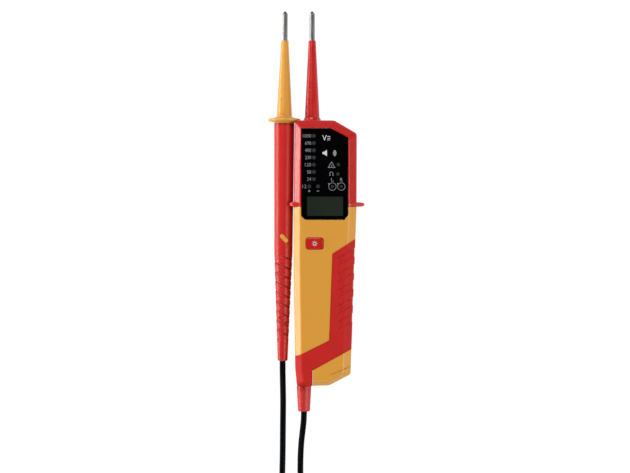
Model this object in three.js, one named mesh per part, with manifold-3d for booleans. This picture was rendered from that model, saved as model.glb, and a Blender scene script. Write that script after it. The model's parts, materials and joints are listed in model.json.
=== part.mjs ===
// Two-pole voltage tester: a display handle and a probe handle joined by one cable.
// It lies on its back. Units are millimetres. +Z is up, out of the display; +Y runs
// towards the tips. X = 0 is the axis of the display handle's tip, Y = 0 the middle of
// its hand guard and Z = 0 the back face.
import * as THREE from 'three';
import { mergeVertices } from 'three/addons/utils/BufferGeometryUtils.js';
import Module from 'manifold-3d';

// ---- Driving dimensions ------------------------------------------------------------
const GAP = 0.3; // clearance between pieces that touch

// Display handle, outside
const HEAD_LENGTH = 58.6; // guard to top edge
const BODY_LENGTH = 126.8; // guard to bottom edge
const BODY_DEPTH = 26; // back face to display face
const LEFT_REACH = 12.7; // tip axis to the left side
const HEAD_RIGHT = 31.2; // tip axis to the right side at the head
const BASE_RIGHT = 26.8; // tip axis to the right side at the bottom
const FRONT_BEVEL = 4.9; // width of the slope round the display face
const FRONT_BEVEL_DEPTH = 4.2;
const BACK_BEVEL = 3;
const WALL = 2.4; // full wall of the housing
const SKIN = 1.1; // thickness of the soft grip over its underlay
const SLOPE_START = 15.4; // where the head's slanted shoulder leaves the top edge
const SLOPE_DROP = 9.2; // how far the shoulder drops at the right side

// Hand guard and the cradle for the probe handle
const GUARD_THICKNESS = 3.5;
const GUARD_WING = 5.8;
const CRADLE_REACH = 3.4; // how far the cradle's fingers reach past the left side
const NECK_LENGTH = 8; // spigot of the shells inside the head

// Tips, the same on both handles
const TIP_PITCH = 19; // between the two tips while the handles are clipped together
const TIP_END = 135.5; // guard to the points of the tips
const ROD_DIAMETER = 4;
const ROD_POINT = 2; // length of the tapered point
const SLEEVE_END = 114.8; // guard to the end of the insulating sleeves
const SLEEVE_END_DIAMETER = 4.8;
const SLEEVE_ROOT_DIAMETER = 10.6;

// Probe handle
const PROBE_LEAN = 0.4; // degrees that the clipped probe handle leans
const PROBE_GUARD_HEIGHT = 59.15; // hand guard of the display handle to the probe's disc
const PROBE_DISC_DIAMETER = 22.7;
const PROBE_DISC_THICKNESS = 2.8;
const BARREL_LENGTH = 166;
const BARREL_DIAMETER = 14.2; // at its top
const BARREL_WAIST_DIAMETER = 12.8; // where the tapered grip starts
const BARREL_TAIL_DIAMETER = 6.9;
const BARREL_TAPER = 76; // length of the tapered grip
const BARREL_WALL = 1.6;

// Keys
const LAMP_KEY = { x: 1.75, y: -27.3, width: 12.3, height: 8.1, proud: 0.8 };
const LOAD_KEY = { along: 82.9, aside: 0.6, length: 7.2, width: 3, turn: -47, proud: 0.6 };

// Display
const WINDOW_MARGIN = 0.3; // of the display face left round the window
const WINDOW_LOW = -10.7;
const WINDOW_THICKNESS = 1.8;
const LCD = { x: 9, y: -1.4, width: 25, height: 13.3 };

// Power
const CELL_DIAMETER = 10.5;
const CELL_LENGTH = 44.5;
const CELL_PITCH = 11.2;
const CELL_X = 7.4; // tip axis to the first cell
const CELL_LOW = -105.4;
const SEAT = 0.5; // thickness of the sheet-metal contacts

// Cable
const CABLE_DIAMETER = 4.2;
const BOOT_X = -5.7;
const BOOT_LENGTH = 18.1; // from the handle's bottom edge
const BOOT_ROOT_DIAMETER = 9.6;
const BOOT_END_DIAMETER = 8.3;
const COIL_CENTRE = [-14.5, -243];
const COIL_RADIUS = 24; // middle of the turns
const COIL_TURNS = 3.25; // turns in each of the two layers
const COIL_PITCH = 4.3;

// ---- Values worked out from them ---------------------------------------------------
const MIDDLE = BODY_DEPTH / 2;
const GUARD_LOW = -GUARD_THICKNESS / 2;
const CABLE_RADIUS = CABLE_DIAMETER / 2;
const BOOT_END = -BODY_LENGTH - BOOT_LENGTH;
const ROD_RADIUS = ROD_DIAMETER / 2;
const BARREL_TOP = PROBE_GUARD_HEIGHT - PROBE_DISC_THICKNESS / 2 - 1.2;
const BOARD_Z = MIDDLE + 4.6;
const BOARD_THICKNESS = 1.6;
const BOARD_TOP = BOARD_Z + BOARD_THICKNESS;
const CAVITY_TOP = BODY_DEPTH - WALL;
const ROUND = 24; // facets of a round piece
const FINE_ROUND = 14; // facets of one under 3 mm in radius
const FAR = 400; // longer than the whole tester
const degrees = (angle) => THREE.MathUtils.degToRad(angle);

// ---- Solids ------------------------------------------------------------------------
const wasm = await Module();
wasm.setup();

function signedVolume(position, index) {
  let volume = 0;
  const corners = [new THREE.Vector3(), new THREE.Vector3(), new THREE.Vector3()];
  for (let i = 0; i < index.length; i += 3) {
    corners.forEach((corner, k) => corner.fromArray(position, 3 * index[i + k]));
    volume += corners[0].dot(corners[1].cross(corners[2])) / 6;
  }
  return volume;
}

// A closed geometry as a solid, with its faces pointing out.
function solid(geometry) {
  const bare = geometry.clone();
  bare.deleteAttribute('normal');
  bare.deleteAttribute('uv');
  const merged = mergeVertices(bare, 1e-4);
  const position = merged.attributes.position.array;
  const source = merged.index.array;
  let index = [];
  for (let i = 0; i < source.length; i += 3) {
    const [a, b, c] = [source[i], source[i + 1], source[i + 2]];
    if (a !== b && b !== c && c !== a) index.push(a, b, c);
  }
  if (signedVolume(position, index) < 0) index.reverse();
  const mesh = new wasm.Mesh({
    numProp: 3,
    vertProperties: new Float32Array(position),
    triVerts: new Uint32Array(index),
  });
  return new wasm.Manifold(mesh);
}

// A solid as a mesh with its own material.
function piece(name, body, [colour, roughness, metalness]) {
  const { vertProperties, triVerts } = body.getMesh();
  const geometry = new THREE.BufferGeometry();
  geometry.setAttribute('position', new THREE.Float32BufferAttribute(vertProperties, 3));
  geometry.setIndex(new THREE.Uint32BufferAttribute(triVerts, 1));
  geometry.computeVertexNormals();
  const mesh = new THREE.Mesh(
    geometry,
    new THREE.MeshStandardMaterial({ color: colour, roughness, metalness }),
  );
  mesh.name = name;
  return mesh;
}

// An outline moved outwards by `grow` along its edges' normals; the outline runs
// anticlockwise.
function grown(outline, grow) {
  return outline.map((corner, i) => {
    const before = outline[(i + outline.length - 1) % outline.length];
    const after = outline[(i + 1) % outline.length];
    const first = new THREE.Vector2(corner[0] - before[0], corner[1] - before[1]).normalize();
    const second = new THREE.Vector2(after[0] - corner[0], after[1] - corner[1]).normalize();
    const normalA = new THREE.Vector2(first.y, -first.x);
    const normalB = new THREE.Vector2(second.y, -second.x);
    const reach = grow / (1 + normalA.dot(normalB));
    return [
      corner[0] + reach * (normalA.x + normalB.x),
      corner[1] + reach * (normalA.y + normalB.y),
    ];
  });
}

// An outline in XY made solid from zLow to zHigh, its edges sloped over `bevel` sideways
// and `bevelDepth` in height.
function plate(outline, zLow, zHigh, bevel = 0, bevelDepth = bevel) {
  const shape = new THREE.Shape(outline.map(([x, y]) => new THREE.Vector2(x, y)));
  const geometry = new THREE.ExtrudeGeometry(shape, {
    depth: zHigh - zLow - 2 * bevelDepth,
    bevelEnabled: bevel > 0,
    bevelSize: bevel,
    bevelOffset: -bevel,
    bevelThickness: bevelDepth,
    bevelSegments: 1,
  });
  geometry.translate(0, 0, zLow + bevelDepth);
  return solid(geometry);
}

function box([xLow, xHigh], [yLow, yHigh], [zLow, zHigh]) {
  const geometry = new THREE.BoxGeometry(xHigh - xLow, yHigh - yLow, zHigh - zLow);
  geometry.translate((xLow + xHigh) / 2, (yLow + yHigh) / 2, (zLow + zHigh) / 2);
  return solid(geometry);
}

// A profile of [radius, y] points turned about the Y direction, and the same as a solid
// through (x, z).
function turnedGeometry(profile) {
  const widest = Math.max(...profile.map(([radius]) => radius));
  const facets = widest < 3 ? FINE_ROUND : ROUND;
  const points = profile.map(([radius, y]) => new THREE.Vector2(radius, y));
  return new THREE.LatheGeometry(points, facets);
}

const turned = (profile, x = 0, z = 0) => solid(turnedGeometry(profile).translate(x, 0, z));

// A plain round bar along Y, and one along Z.
const bar = (radius, yLow, yHigh, x = 0, z = 0) =>
  turned([[0, yLow], [radius, yLow], [radius, yHigh], [0, yHigh]], x, z);

function post(radius, zLow, zHigh, x, y) {
  const facets = radius < 3 ? FINE_ROUND : ROUND;
  const geometry = new THREE.CylinderGeometry(radius, radius, zHigh - zLow, facets);
  geometry.rotateX(Math.PI / 2);
  geometry.translate(x, y, (zLow + zHigh) / 2);
  return solid(geometry);
}

// A round-ended bar shape in XY, `length` long, turned by `turn` degrees.
function pill(length, width, turn, x, y, zLow, zHigh) {
  const radius = width / 2;
  const half = length / 2 - radius;
  const shape = new THREE.Shape();
  shape.absarc(half, 0, radius, -Math.PI / 2, Math.PI / 2, false);
  shape.absarc(-half, 0, radius, Math.PI / 2, 1.5 * Math.PI, false);
  const options = { depth: zHigh - zLow, bevelEnabled: false, curveSegments: 8 };
  const geometry = new THREE.ExtrudeGeometry(shape, options);
  geometry.rotateZ(degrees(turn));
  geometry.translate(x, y, zLow);
  return solid(geometry);
}

// ---- Finishes: colour, roughness, metalness ----------------------------------------
const RED = [0xb8221e, 0.5, 0];
const SOFT_RED = [0xad1f20, 0.75, 0];
const YELLOW = [0xd39b3a, 0.5, 0];
const BLACK_GLOSS = [0x05060a, 0.08, 0];
const LCD_GREY = [0x1f261f, 0.25, 0];
const BLACK = [0x15171a, 0.6, 0];
const CABLE_BLACK = [0x0b0e10, 0.5, 0];
const CLEAR = [0xd8dde0, 0.2, 0];
const BOARD_GREEN = [0x1d5a36, 0.5, 0];
const STEEL = [0xb9bcc0, 0.3, 1];
const BRASS = [0xc8a24a, 0.35, 1];
const TIN = [0x8f9296, 0.4, 1];

// ---- Display handle: overall form --------------------------------------------------
function handleOutline() {
  const baseRise = 6.5; // height of the lower left corner above the bottom edge
  const cornerX = 12; // where the slanted bottom edge starts
  const cornerRise = 8.4; // how far it rises to the right side
  const waist = -38; // where the left side starts to draw in
  const ankle = 12.7; // height above the bottom edge where it draws in faster
  const widest = 0.2; // how far the sides stand past their nominal reach at the guard
  return [
    [-LEFT_REACH + 1.5, -BODY_LENGTH + baseRise],
    [BOOT_X - BOOT_ROOT_DIAMETER / 2 - 0.1, -BODY_LENGTH],
    [cornerX, -BODY_LENGTH + 0.6],
    [BASE_RIGHT, -BODY_LENGTH + cornerRise],
    [HEAD_RIGHT - widest, GUARD_LOW],
    [HEAD_RIGHT, HEAD_LENGTH - SLOPE_DROP],
    [SLOPE_START, HEAD_LENGTH],
    [-LEFT_REACH + 0.6, HEAD_LENGTH],
    [-LEFT_REACH - widest, GUARD_LOW],
    [-LEFT_REACH - widest, waist],
    [-LEFT_REACH + 0.9, -BODY_LENGTH + ankle],
  ];
}

// Centre of the clipped probe handle at a distance y from the display handle's guard.
const probeX = (y) => -TIP_PITCH - (TIP_END - y) * Math.tan(degrees(PROBE_LEAN));

// Half width of the probe handle's barrel at a distance `along` below its top.
function barrelRadius(along) {
  const waist = BARREL_WAIST_DIAMETER / 2;
  const straight = BARREL_LENGTH - BARREL_TAPER;
  if (along < straight) {
    return THREE.MathUtils.lerp(BARREL_DIAMETER / 2, waist, along / straight);
  }
  const share = (along - straight) / BARREL_TAPER;
  return THREE.MathUtils.lerp(waist, BARREL_TAIL_DIAMETER / 2, share);
}

const PROBE_CLEARANCE = 0.5; // between the clipped probe handle and its cradle

// Room that the clipped probe handle takes beside the display handle, open to the left,
// or the same room grown by `grow`.
function probeRoom(grow) {
  const extra = PROBE_CLEARANCE + grow;
  const stations = [0, BARREL_LENGTH - BARREL_TAPER, BARREL_LENGTH + grow];
  const profile = stations.map((along) => [barrelRadius(along) + extra, BARREL_TOP - along]);
  profile.push([0, BARREL_TOP - BARREL_LENGTH - grow]);
  profile.unshift([0, BARREL_TOP + 1], [barrelRadius(0) + extra, BARREL_TOP + 1]);
  const geometry = turnedGeometry(profile).translate(0, -TIP_END, 0);
  geometry.rotateZ(-degrees(PROBE_LEAN)).translate(-TIP_PITCH, TIP_END, MIDDLE);
  return solid(geometry);
}

// The handle's outer form, or the same form `inset` further in.
function handleForm(inset) {
  const outline = grown(handleOutline(), -inset);
  const front = plate(outline, -FAR, BODY_DEPTH - inset, FRONT_BEVEL, FRONT_BEVEL_DEPTH);
  const back = plate(outline, inset, FAR, BACK_BEVEL);
  return front.intersect(back).subtract(probeRoom(inset));
}

const form = handleForm(0);
const underlay = handleForm(SKIN + GAP);
const cavity = handleForm(WALL);
const between = (yLow, yHigh) => box([-FAR, FAR], [yLow, yHigh], [-FAR, FAR]);

// Region that the soft grip covers: a strip down the right side, a band that slants
// across the front and back, and the lower left corner round the cable.
const GRIP = {
  topRight: -24.2,
  topLeft: -34.4,
  bandTop: -94.6,
  bandLeft: -105.6,
  bandRight: -100.2,
  edgeTop: 14,
  edgeBottom: 11.8,
};
const COVER_LEFT = 0.5;
const COVER_LEFT_TOP = -115.3;

function gripRegion() {
  return [
    [-FAR, GRIP.bandLeft],
    [-FAR, -FAR],
    [COVER_LEFT - GAP, -FAR],
    [COVER_LEFT - GAP, COVER_LEFT_TOP],
    [BASE_RIGHT + 1, GRIP.bandRight],
    [FAR, GRIP.bandRight],
    [FAR, GRIP.topRight],
    [HEAD_RIGHT - 1.2, GRIP.topRight],
    [GRIP.edgeTop, GRIP.topLeft],
    [GRIP.edgeBottom, GRIP.bandTop],
    [-LEFT_REACH + 5.4, GRIP.bandLeft + 1.4],
    [-LEFT_REACH + 1.4, GRIP.bandLeft],
  ];
}

function coverRegion() {
  return [
    [COVER_LEFT, -FAR],
    [FAR, -FAR],
    [FAR, GRIP.bandRight - GAP],
    [BASE_RIGHT + 1, GRIP.bandRight - GAP],
    [COVER_LEFT, COVER_LEFT_TOP - GAP],
  ];
}

// The window fills the display face and runs down past the guard.
function windowOutline() {
  const left = -LEFT_REACH + FRONT_BEVEL + WINDOW_MARGIN;
  const right = HEAD_RIGHT - FRONT_BEVEL - WINDOW_MARGIN - 1;
  const top = HEAD_LENGTH - FRONT_BEVEL - WINDOW_MARGIN - 0.5;
  return [
    [left + 2.8, WINDOW_LOW],
    [right - 2.6, WINDOW_LOW],
    [right, WINDOW_LOW + 3.2],
    [right, top - 6.6],
    [right - 12.6, top],
    [left, top],
    [left, WINDOW_LOW + 2.6],
  ];
}

// ---- Display handle: housing -------------------------------------------------------
const SCREWS = [
  [-LEFT_REACH + 8, -15.2],
  [HEAD_RIGHT - 8.6, -15.2],
  [-LEFT_REACH + 8, GRIP.bandLeft + 10.5],
  [HEAD_RIGHT - 9, GRIP.topLeft - 12.6],
];
const SCREW_RADIUS = 1.1;
const SCREW_HEAD_RADIUS = 2.2;
const BOSS_RADIUS = 3.1;
const SCREW_SINK = 3;

const screwAccess = () => SCREWS.map(([x, y]) =>
  post(SCREW_HEAD_RADIUS + GAP, -1, SCREW_SINK, x, y));
const windowCut = () => plate(grown(windowOutline(), GAP), MIDDLE + 5, FAR);

// Wall of the yellow housing, front and back together: full wall where it shows, a thin
// underlay where the soft grip lies on it, and a neck that plugs into the head.
function housingWall() {
  const shown = form.subtract(cavity).intersect(between(-FAR, GUARD_LOW - GAP));
  const underGrip = plate(grown(gripRegion(), GAP), -FAR, FAR);
  const skin = underGrip.subtract(underlay);
  const neck = underlay
    .subtract(cavity)
    .intersect(between(GUARD_LOW - 2 * GAP, GUARD_LOW + NECK_LENGTH));
  const lid = plate(grown(coverRegion(), GAP), -FAR, FAR);
  return shown.add(neck).subtract(skin).subtract(lid).subtract(windowCut());
}

const BOOT_NECK = BOOT_ROOT_DIAMETER / 2 - 1.5;
const cableHole = () => bar(BOOT_NECK + GAP, -FAR, -BODY_LENGTH + 12, BOOT_X, MIDDLE);

function frontShell() {
  const upper = box([-FAR, FAR], [-FAR, FAR], [MIDDLE + GAP / 2, FAR]);
  let shell = housingWall().intersect(upper);
  for (const [x, y] of SCREWS) {
    const boss = post(BOSS_RADIUS, MIDDLE + GAP / 2, CAVITY_TOP + 0.4, x, y);
    const hole = post(SCREW_RADIUS + GAP, -FAR, MIDDLE + 6, x, y);
    shell = shell.add(boss.intersect(underlay)).subtract(hole);
  }
  shell = shell.add(coverScrewBoss().intersect(underlay)).subtract(coverScrewHole());
  const { x, y, width, height } = LAMP_KEY;
  const opening = box(
    [x - width / 2 - GAP, x + width / 2 + GAP],
    [y - height / 2 - GAP, y + height / 2 + GAP],
    [CAVITY_TOP - 1, FAR],
  );
  return shell.subtract(opening).subtract(cableHole());
}

function rearShell() {
  const lower = box([-FAR, FAR], [-FAR, FAR], [-FAR, MIDDLE - GAP / 2]);
  let shell = housingWall().intersect(lower);
  for (const [x, y] of SCREWS) {
    const boss = post(BOSS_RADIUS, SKIN + GAP + 0.5, MIDDLE - GAP / 2, x, y);
    const hole = post(SCREW_RADIUS + GAP, -FAR, FAR, x, y);
    shell = shell.add(boss.intersect(underlay)).subtract(hole);
  }
  for (const access of screwAccess()) shell = shell.subtract(access);
  return shell.subtract(cableHole());
}

function gripSleeve() {
  const region = plate(gripRegion(), -FAR, FAR);
  let sleeve = form.subtract(handleForm(SKIN)).intersect(region);
  const access = screwAccess()[3];
  sleeve = sleeve.subtract(access);
  return sleeve.subtract(cableHole());
}

function housingScrew(x, y) {
  const headTop = SCREW_SINK - 0.3;
  const head = post(SCREW_HEAD_RADIUS, headTop - 1.6, headTop, x, y);
  const shaft = post(SCREW_RADIUS, headTop - 0.5, MIDDLE + 5.4, x, y);
  const slot = box([x - 2, x + 2], [y - 0.3, y + 0.3], [0, headTop - 0.9]);
  return head.add(shaft).subtract(slot);
}

// ---- Display handle: head with guard, cradle and collar ----------------------------
function guardPlate() {
  const left = -LEFT_REACH - CRADLE_REACH;
  const wing = HEAD_RIGHT + GUARD_WING;
  const section = [
    [-LEFT_REACH + FRONT_BEVEL, 0],
    [HEAD_RIGHT - FRONT_BEVEL, 0],
    [wing - 1.2, MIDDLE - 3],
    [wing, MIDDLE],
    [wing - 1.2, MIDDLE + 3],
    [HEAD_RIGHT - FRONT_BEVEL + 0.6, BODY_DEPTH],
    [-LEFT_REACH + FRONT_BEVEL - 0.6, BODY_DEPTH],
    [left, MIDDLE + 9],
    [left, MIDDLE - 9],
  ];
  const shape = new THREE.Shape(section.map(([x, z]) => new THREE.Vector2(x, -z)));
  const options = { depth: GUARD_THICKNESS, bevelEnabled: false };
  const geometry = new THREE.ExtrudeGeometry(shape, options);
  geometry.rotateX(-Math.PI / 2);
  geometry.translate(0, GUARD_LOW, 0);
  return solid(geometry);
}

function headHood() {
  const low = GUARD_LOW;
  let hood = form.add(guardPlate()).intersect(between(low, FAR));
  hood = hood.subtract(cavity);
  const neckRoom = handleForm(SKIN).intersect(between(-FAR, low + NECK_LENGTH + GAP));
  hood = hood.subtract(neckRoom);
  const collarRadius = SLEEVE_ROOT_DIAMETER / 2;
  const collar = turned([
    [0, HEAD_LENGTH - 1],
    [collarRadius + 2.4, HEAD_LENGTH - 1],
    [collarRadius + 2, HEAD_LENGTH + 0.4],
    [collarRadius + 0.9, HEAD_LENGTH + 2.4],
    [0, HEAD_LENGTH + 2.4],
  ], 0, MIDDLE);
  hood = hood.add(collar);
  hood = hood.subtract(bar(collarRadius + GAP, HEAD_LENGTH - 6, FAR, 0, MIDDLE));
  const barrel = barrelRadius(BARREL_TOP) + PROBE_CLEARANCE;
  hood = hood.subtract(bar(barrel, -FAR, FAR, probeX(0), MIDDLE));
  hood = hood.subtract(box([-FAR, probeX(0)], [-FAR, FAR], [MIDDLE - barrel, MIDDLE + barrel]));
  hood = hood.subtract(discRoom());
  hood = hood.subtract(bar(TORCH.radius + GAP, HEAD_LENGTH - 9, FAR, TORCH.x, MIDDLE));
  return hood.subtract(windowCut());
}

// Room for the probe handle's disc in the head's top left corner, open to the left.
function discRoom() {
  const low = PROBE_GUARD_HEIGHT - PROBE_DISC_THICKNESS / 2 - 0.5;
  const radius = PROBE_DISC_DIAMETER / 2 + 0.5;
  const middle = probeX(PROBE_GUARD_HEIGHT);
  const round = bar(radius, low, FAR, middle, MIDDLE);
  return round.add(box([-FAR, middle], [low, FAR], [MIDDLE - radius, MIDDLE + radius]));
}

// ---- Display handle: tip -----------------------------------------------------------
// Insulating sleeve, from `root` up to its end; widths follow the sleeve's two ends.
function sleeveProfile(root) {
  const thin = SLEEVE_END_DIAMETER / 2;
  const thick = SLEEVE_ROOT_DIAMETER / 2;
  const length = SLEEVE_END - root;
  return [
    [thick, root],
    [thick, root + 0.05 * length],
    [thick - 0.6, root + 0.24 * length],
    [thick - 1.3, root + 0.45 * length],
    [thin + 0.85, root + 0.75 * length],
    [thin + 0.25, root + 0.97 * length],
    [thin, SLEEVE_END],
  ];
}

const rodHole = () => bar(ROD_RADIUS + GAP, -FAR, FAR);

function tipRod(low) {
  return turned([
    [0, low],
    [ROD_RADIUS, low],
    [ROD_RADIUS, TIP_END - ROD_POINT],
    [ROD_RADIUS - 0.6, TIP_END - 0.7],
    [ROD_RADIUS - 1.2, TIP_END],
    [0, TIP_END],
  ]);
}

function tipSleeve() {
  const root = HEAD_LENGTH - 5.5;
  const sleeve = turned([[0, root], ...sleeveProfile(root), [0, SLEEVE_END]]);
  return sleeve.subtract(rodHole());
}

// Socket that holds the rod and joins it to the board.
function rodSocket(low, length, radius = ROD_RADIUS + 1.6) {
  return bar(radius, low, low + length).subtract(bar(ROD_RADIUS + GAP, low + 3, FAR));
}

// ---- Display handle: electronics ---------------------------------------------------
const TORCH = { x: 9.5, radius: 2.5 };
const BOARD_LOW = -52;
const BUZZER = { x: 17, y: 34, radius: 6, height: 4.5 };
const MOTOR = { x: 13.5, low: -34, length: 12, radius: 3 };

function displayWindow() {
  return plate(windowOutline(), BODY_DEPTH - WINDOW_THICKNESS, BODY_DEPTH);
}

function mainBoard() {
  const inner = grown(handleOutline(), -WALL - FRONT_BEVEL / 2 - 1);
  let board = plate(inner, BOARD_Z, BOARD_TOP).intersect(between(BOARD_LOW, HEAD_LENGTH - 13));
  for (const [x, y] of SCREWS) {
    board = board.subtract(post(BOSS_RADIUS + GAP, -FAR, FAR, x, y));
  }
  return board;
}

function onBoard({ x, y, width, height }, top) {
  const low = BOARD_TOP + GAP;
  return box([x - width / 2, x + width / 2], [y - height / 2, y + height / 2], [low, top]);
}

// Light guide: a bar on the board with a round window under each lamp of the scale.
function lightGuide(x, yLow, yHigh, count, radius) {
  const top = BODY_DEPTH - WINDOW_THICKNESS - GAP;
  const low = BOARD_TOP + GAP;
  let guide = box([x - 1.6, x + 1.6], [yLow - 2, yHigh + 2], [low, low + 2]);
  for (let i = 0; i < count; i += 1) {
    const y = THREE.MathUtils.lerp(yLow, yHigh, i / (count - 1));
    guide = guide.add(post(radius, low + 1, top, x, y));
  }
  return guide;
}

function torchLed() {
  const { x, radius } = TORCH;
  return turned([
    [0, HEAD_LENGTH - 8.5],
    [radius, HEAD_LENGTH - 8.5],
    [radius, HEAD_LENGTH - 2],
    [radius * 0.7, HEAD_LENGTH - 0.6],
    [0, HEAD_LENGTH - 0.1],
  ], x, MIDDLE);
}

function motorCan() {
  const { x, low, length, radius } = MOTOR;
  const can = bar(radius, low, low + length, x, MIDDLE);
  return can.subtract(bar(0.5 + GAP, low + length - 4, FAR, x, MIDDLE));
}

// Off-centre weight with its shaft: half a disc below the shaft's axis.
function motorWeight() {
  const { x, low, length, radius } = MOTOR;
  const end = low + length;
  const disc = bar(radius - 0.3, end + 0.6, end + 4.6, x, MIDDLE);
  const half = disc.subtract(box([-FAR, FAR], [-FAR, FAR], [MIDDLE + 0.4, FAR]));
  return half.add(bar(0.5, end - 3.5, end + 4.6, x, MIDDLE));
}

// ---- Display handle: lamp key ------------------------------------------------------
const KEY_TRAVEL = 0.8;

function lampKey() {
  const { x, y, width, height, proud } = LAMP_KEY;
  const half = [width / 2, height / 2];
  const corner = 0.9;
  const outline = [
    [x - half[0] + corner, y - half[1]],
    [x + half[0] - corner, y - half[1]],
    [x + half[0], y - half[1] + corner],
    [x + half[0], y + half[1] - corner],
    [x + half[0] - corner, y + half[1]],
    [x - half[0] + corner, y + half[1]],
    [x - half[0], y + half[1] - corner],
    [x - half[0], y - half[1] + corner],
  ];
  const flangeTop = CAVITY_TOP - 0.4;
  const cap = plate(outline, flangeTop - 0.6, BODY_DEPTH + proud);
  return cap.add(plate(grown(outline, 1), flangeTop - 1, flangeTop));
}

function keySwitch() {
  const top = CAVITY_TOP - 1.4 - KEY_TRAVEL - GAP;
  return onBoard({ x: LAMP_KEY.x, y: LAMP_KEY.y, width: 6, height: 6 }, top);
}

// ---- Display handle: battery bay ---------------------------------------------------
const COVER_SCREW = { x: CELL_X + CELL_PITCH / 2, z: MIDDLE + 6, radius: 1.1, head: 2.1 };
const COVER_BOTTOM = -BODY_LENGTH + 1.8; // bottom edge at the screw
const CELL_TOP = CELL_LOW + CELL_LENGTH;
const SPRING_LENGTH = 3;
const BOSS_LOW = CELL_LOW + 6;

function coverScrewBoss() {
  const { x, z } = COVER_SCREW;
  return box([x - 2.1, x + 2.1], [BOSS_LOW, BOSS_LOW + 8], [z - 1.55, CAVITY_TOP + 0.4]);
}

const coverScrewHole = () =>
  bar(COVER_SCREW.radius + GAP, -FAR, BOSS_LOW + 6.5, COVER_SCREW.x, COVER_SCREW.z);

function coverScrew() {
  const { x, z, radius, head } = COVER_SCREW;
  const top = BOSS_LOW + 5;
  const bolt = bar(radius, COVER_BOTTOM + 1, top, x, z);
  const cap = bar(head, COVER_BOTTOM + 0.4, COVER_BOTTOM + 2, x, z);
  const slot = box([x - 0.3, x + 0.3], [-FAR, COVER_BOTTOM + 1.1], [z - 3, z + 3]);
  return bolt.add(cap).subtract(slot);
}

// Cup that closes the lower right corner, with a block that carries the contacts.
function batteryCover() {
  const { x, z, radius, head } = COVER_SCREW;
  const region = plate(coverRegion(), -FAR, FAR);
  const hollow = cavity.intersect(box([COVER_LEFT + 2, FAR], [-FAR, FAR], [-FAR, FAR]));
  let cover = form.intersect(region).subtract(hollow);
  const last = CELL_X + CELL_PITCH + CELL_DIAMETER / 2;
  const block = box(
    [COVER_LEFT + 1.6, last - 0.8],
    [-FAR, CELL_LOW - SEAT - 2 * GAP],
    [MIDDLE - 8, MIDDLE + 8],
  );
  cover = cover.add(block.intersect(handleForm(WALL - 0.5)));
  cover = cover.subtract(bar(radius + GAP, -FAR, FAR, x, z));
  return cover.subtract(bar(head + GAP, -FAR, COVER_BOTTOM + 2 + GAP, x, z));
}

function cell(x, pointsUp) {
  const side = CELL_DIAMETER / 2;
  const nub = 1.9;
  const nubLength = 0.9;
  const profile = [
    [0, 0],
    [side - 0.4, 0],
    [side, 0.4],
    [side, CELL_LENGTH - nubLength - 0.4],
    [side - 0.4, CELL_LENGTH - nubLength],
    [nub, CELL_LENGTH - nubLength],
    [nub, CELL_LENGTH],
    [0, CELL_LENGTH],
  ];
  const placed = profile.map(([radius, y]) =>
    [radius, pointsUp ? CELL_LOW + y : CELL_TOP - y]);
  return turned(placed, x, MIDDLE);
}

class Helix extends THREE.Curve {
  constructor(radius, length, turns) {
    super();
    Object.assign(this, { radius, length, turns });
  }

  getPoint(t, target = new THREE.Vector3()) {
    const angle = 2 * Math.PI * this.turns * t;
    const radius = this.radius * (1 - 0.35 * t);
    return target.set(radius * Math.cos(angle), this.length * t, radius * Math.sin(angle));
  }
}

// Conical contact spring between a cell's flat end and the contact block.
function contactSpring(x) {
  const wire = 0.25;
  const shape = new THREE.Shape();
  shape.absarc(0, 0, wire, 0, 2 * Math.PI, false);
  const path = new Helix(3, -(SPRING_LENGTH - 2 * wire - 2 * GAP), 3);
  const options = { steps: 30, extrudePath: path, curveSegments: 3, bevelEnabled: false };
  const geometry = new THREE.ExtrudeGeometry(shape, options);
  geometry.translate(x, CELL_TOP + SPRING_LENGTH - wire - GAP, MIDDLE);
  return solid(geometry);
}

function contactPlate(x) {
  const low = CELL_TOP + SPRING_LENGTH + GAP;
  return box([x - 4, x + 4], [low, low + SEAT], [MIDDLE - 3, MIDDLE + 3]);
}

function contactBlock() {
  const low = CELL_TOP + SPRING_LENGTH + 2 * GAP + SEAT;
  const right = CELL_X + CELL_PITCH + CELL_DIAMETER / 2;
  return box([CELL_X - CELL_DIAMETER / 2, right], [low, low + 2], [MIDDLE - 6, MIDDLE + 4]);
}

function cellJumper() {
  const high = CELL_LOW - GAP;
  return box([CELL_X - 3, CELL_X + CELL_PITCH + 3], [high - SEAT, high],
    [MIDDLE - 3, MIDDLE + 3]);
}

// ---- Cable entry of the display handle ---------------------------------------------
function cableBoot() {
  const root = BOOT_ROOT_DIAMETER / 2;
  const end = BOOT_END_DIAMETER / 2;
  const floor = -BODY_LENGTH;
  const profile = [
    [0, BOOT_END],
    [end - 0.7, BOOT_END],
    [end, BOOT_END + 0.9],
    [root, floor - GAP],
    [BOOT_NECK, floor - GAP],
    [BOOT_NECK, floor + 9],
    [0, floor + 9],
  ];
  return turned(profile, BOOT_X, MIDDLE).subtract(
    bar(CABLE_RADIUS + GAP, -FAR, FAR, BOOT_X, MIDDLE));
}

const CLAMP_LOW = -BODY_LENGTH + 13;
const cableInDisplay = () =>
  bar(CABLE_RADIUS, BOOT_END + 0.1, CLAMP_LOW + 8, BOOT_X, MIDDLE);

function cableClamp() {
  const reach = CABLE_RADIUS + 1.3;
  const block = box([BOOT_X - reach, BOOT_X + reach], [CLAMP_LOW, CLAMP_LOW + 5],
    [MIDDLE - reach, MIDDLE + reach]);
  const hole = bar(CABLE_RADIUS + GAP, -FAR, FAR, BOOT_X, MIDDLE);
  return block.intersect(handleForm(WALL + GAP)).subtract(hole);
}

// ---- Probe handle, drawn about its own axis with Y measured as on the display handle --
const BARREL_LOW = BARREL_TOP - BARREL_LENGTH;
const SPIGOT = 11;
const LOAD_Y = PROBE_GUARD_HEIGHT - LOAD_KEY.along;
const KEY_FLOOR = 3.2;

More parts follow.
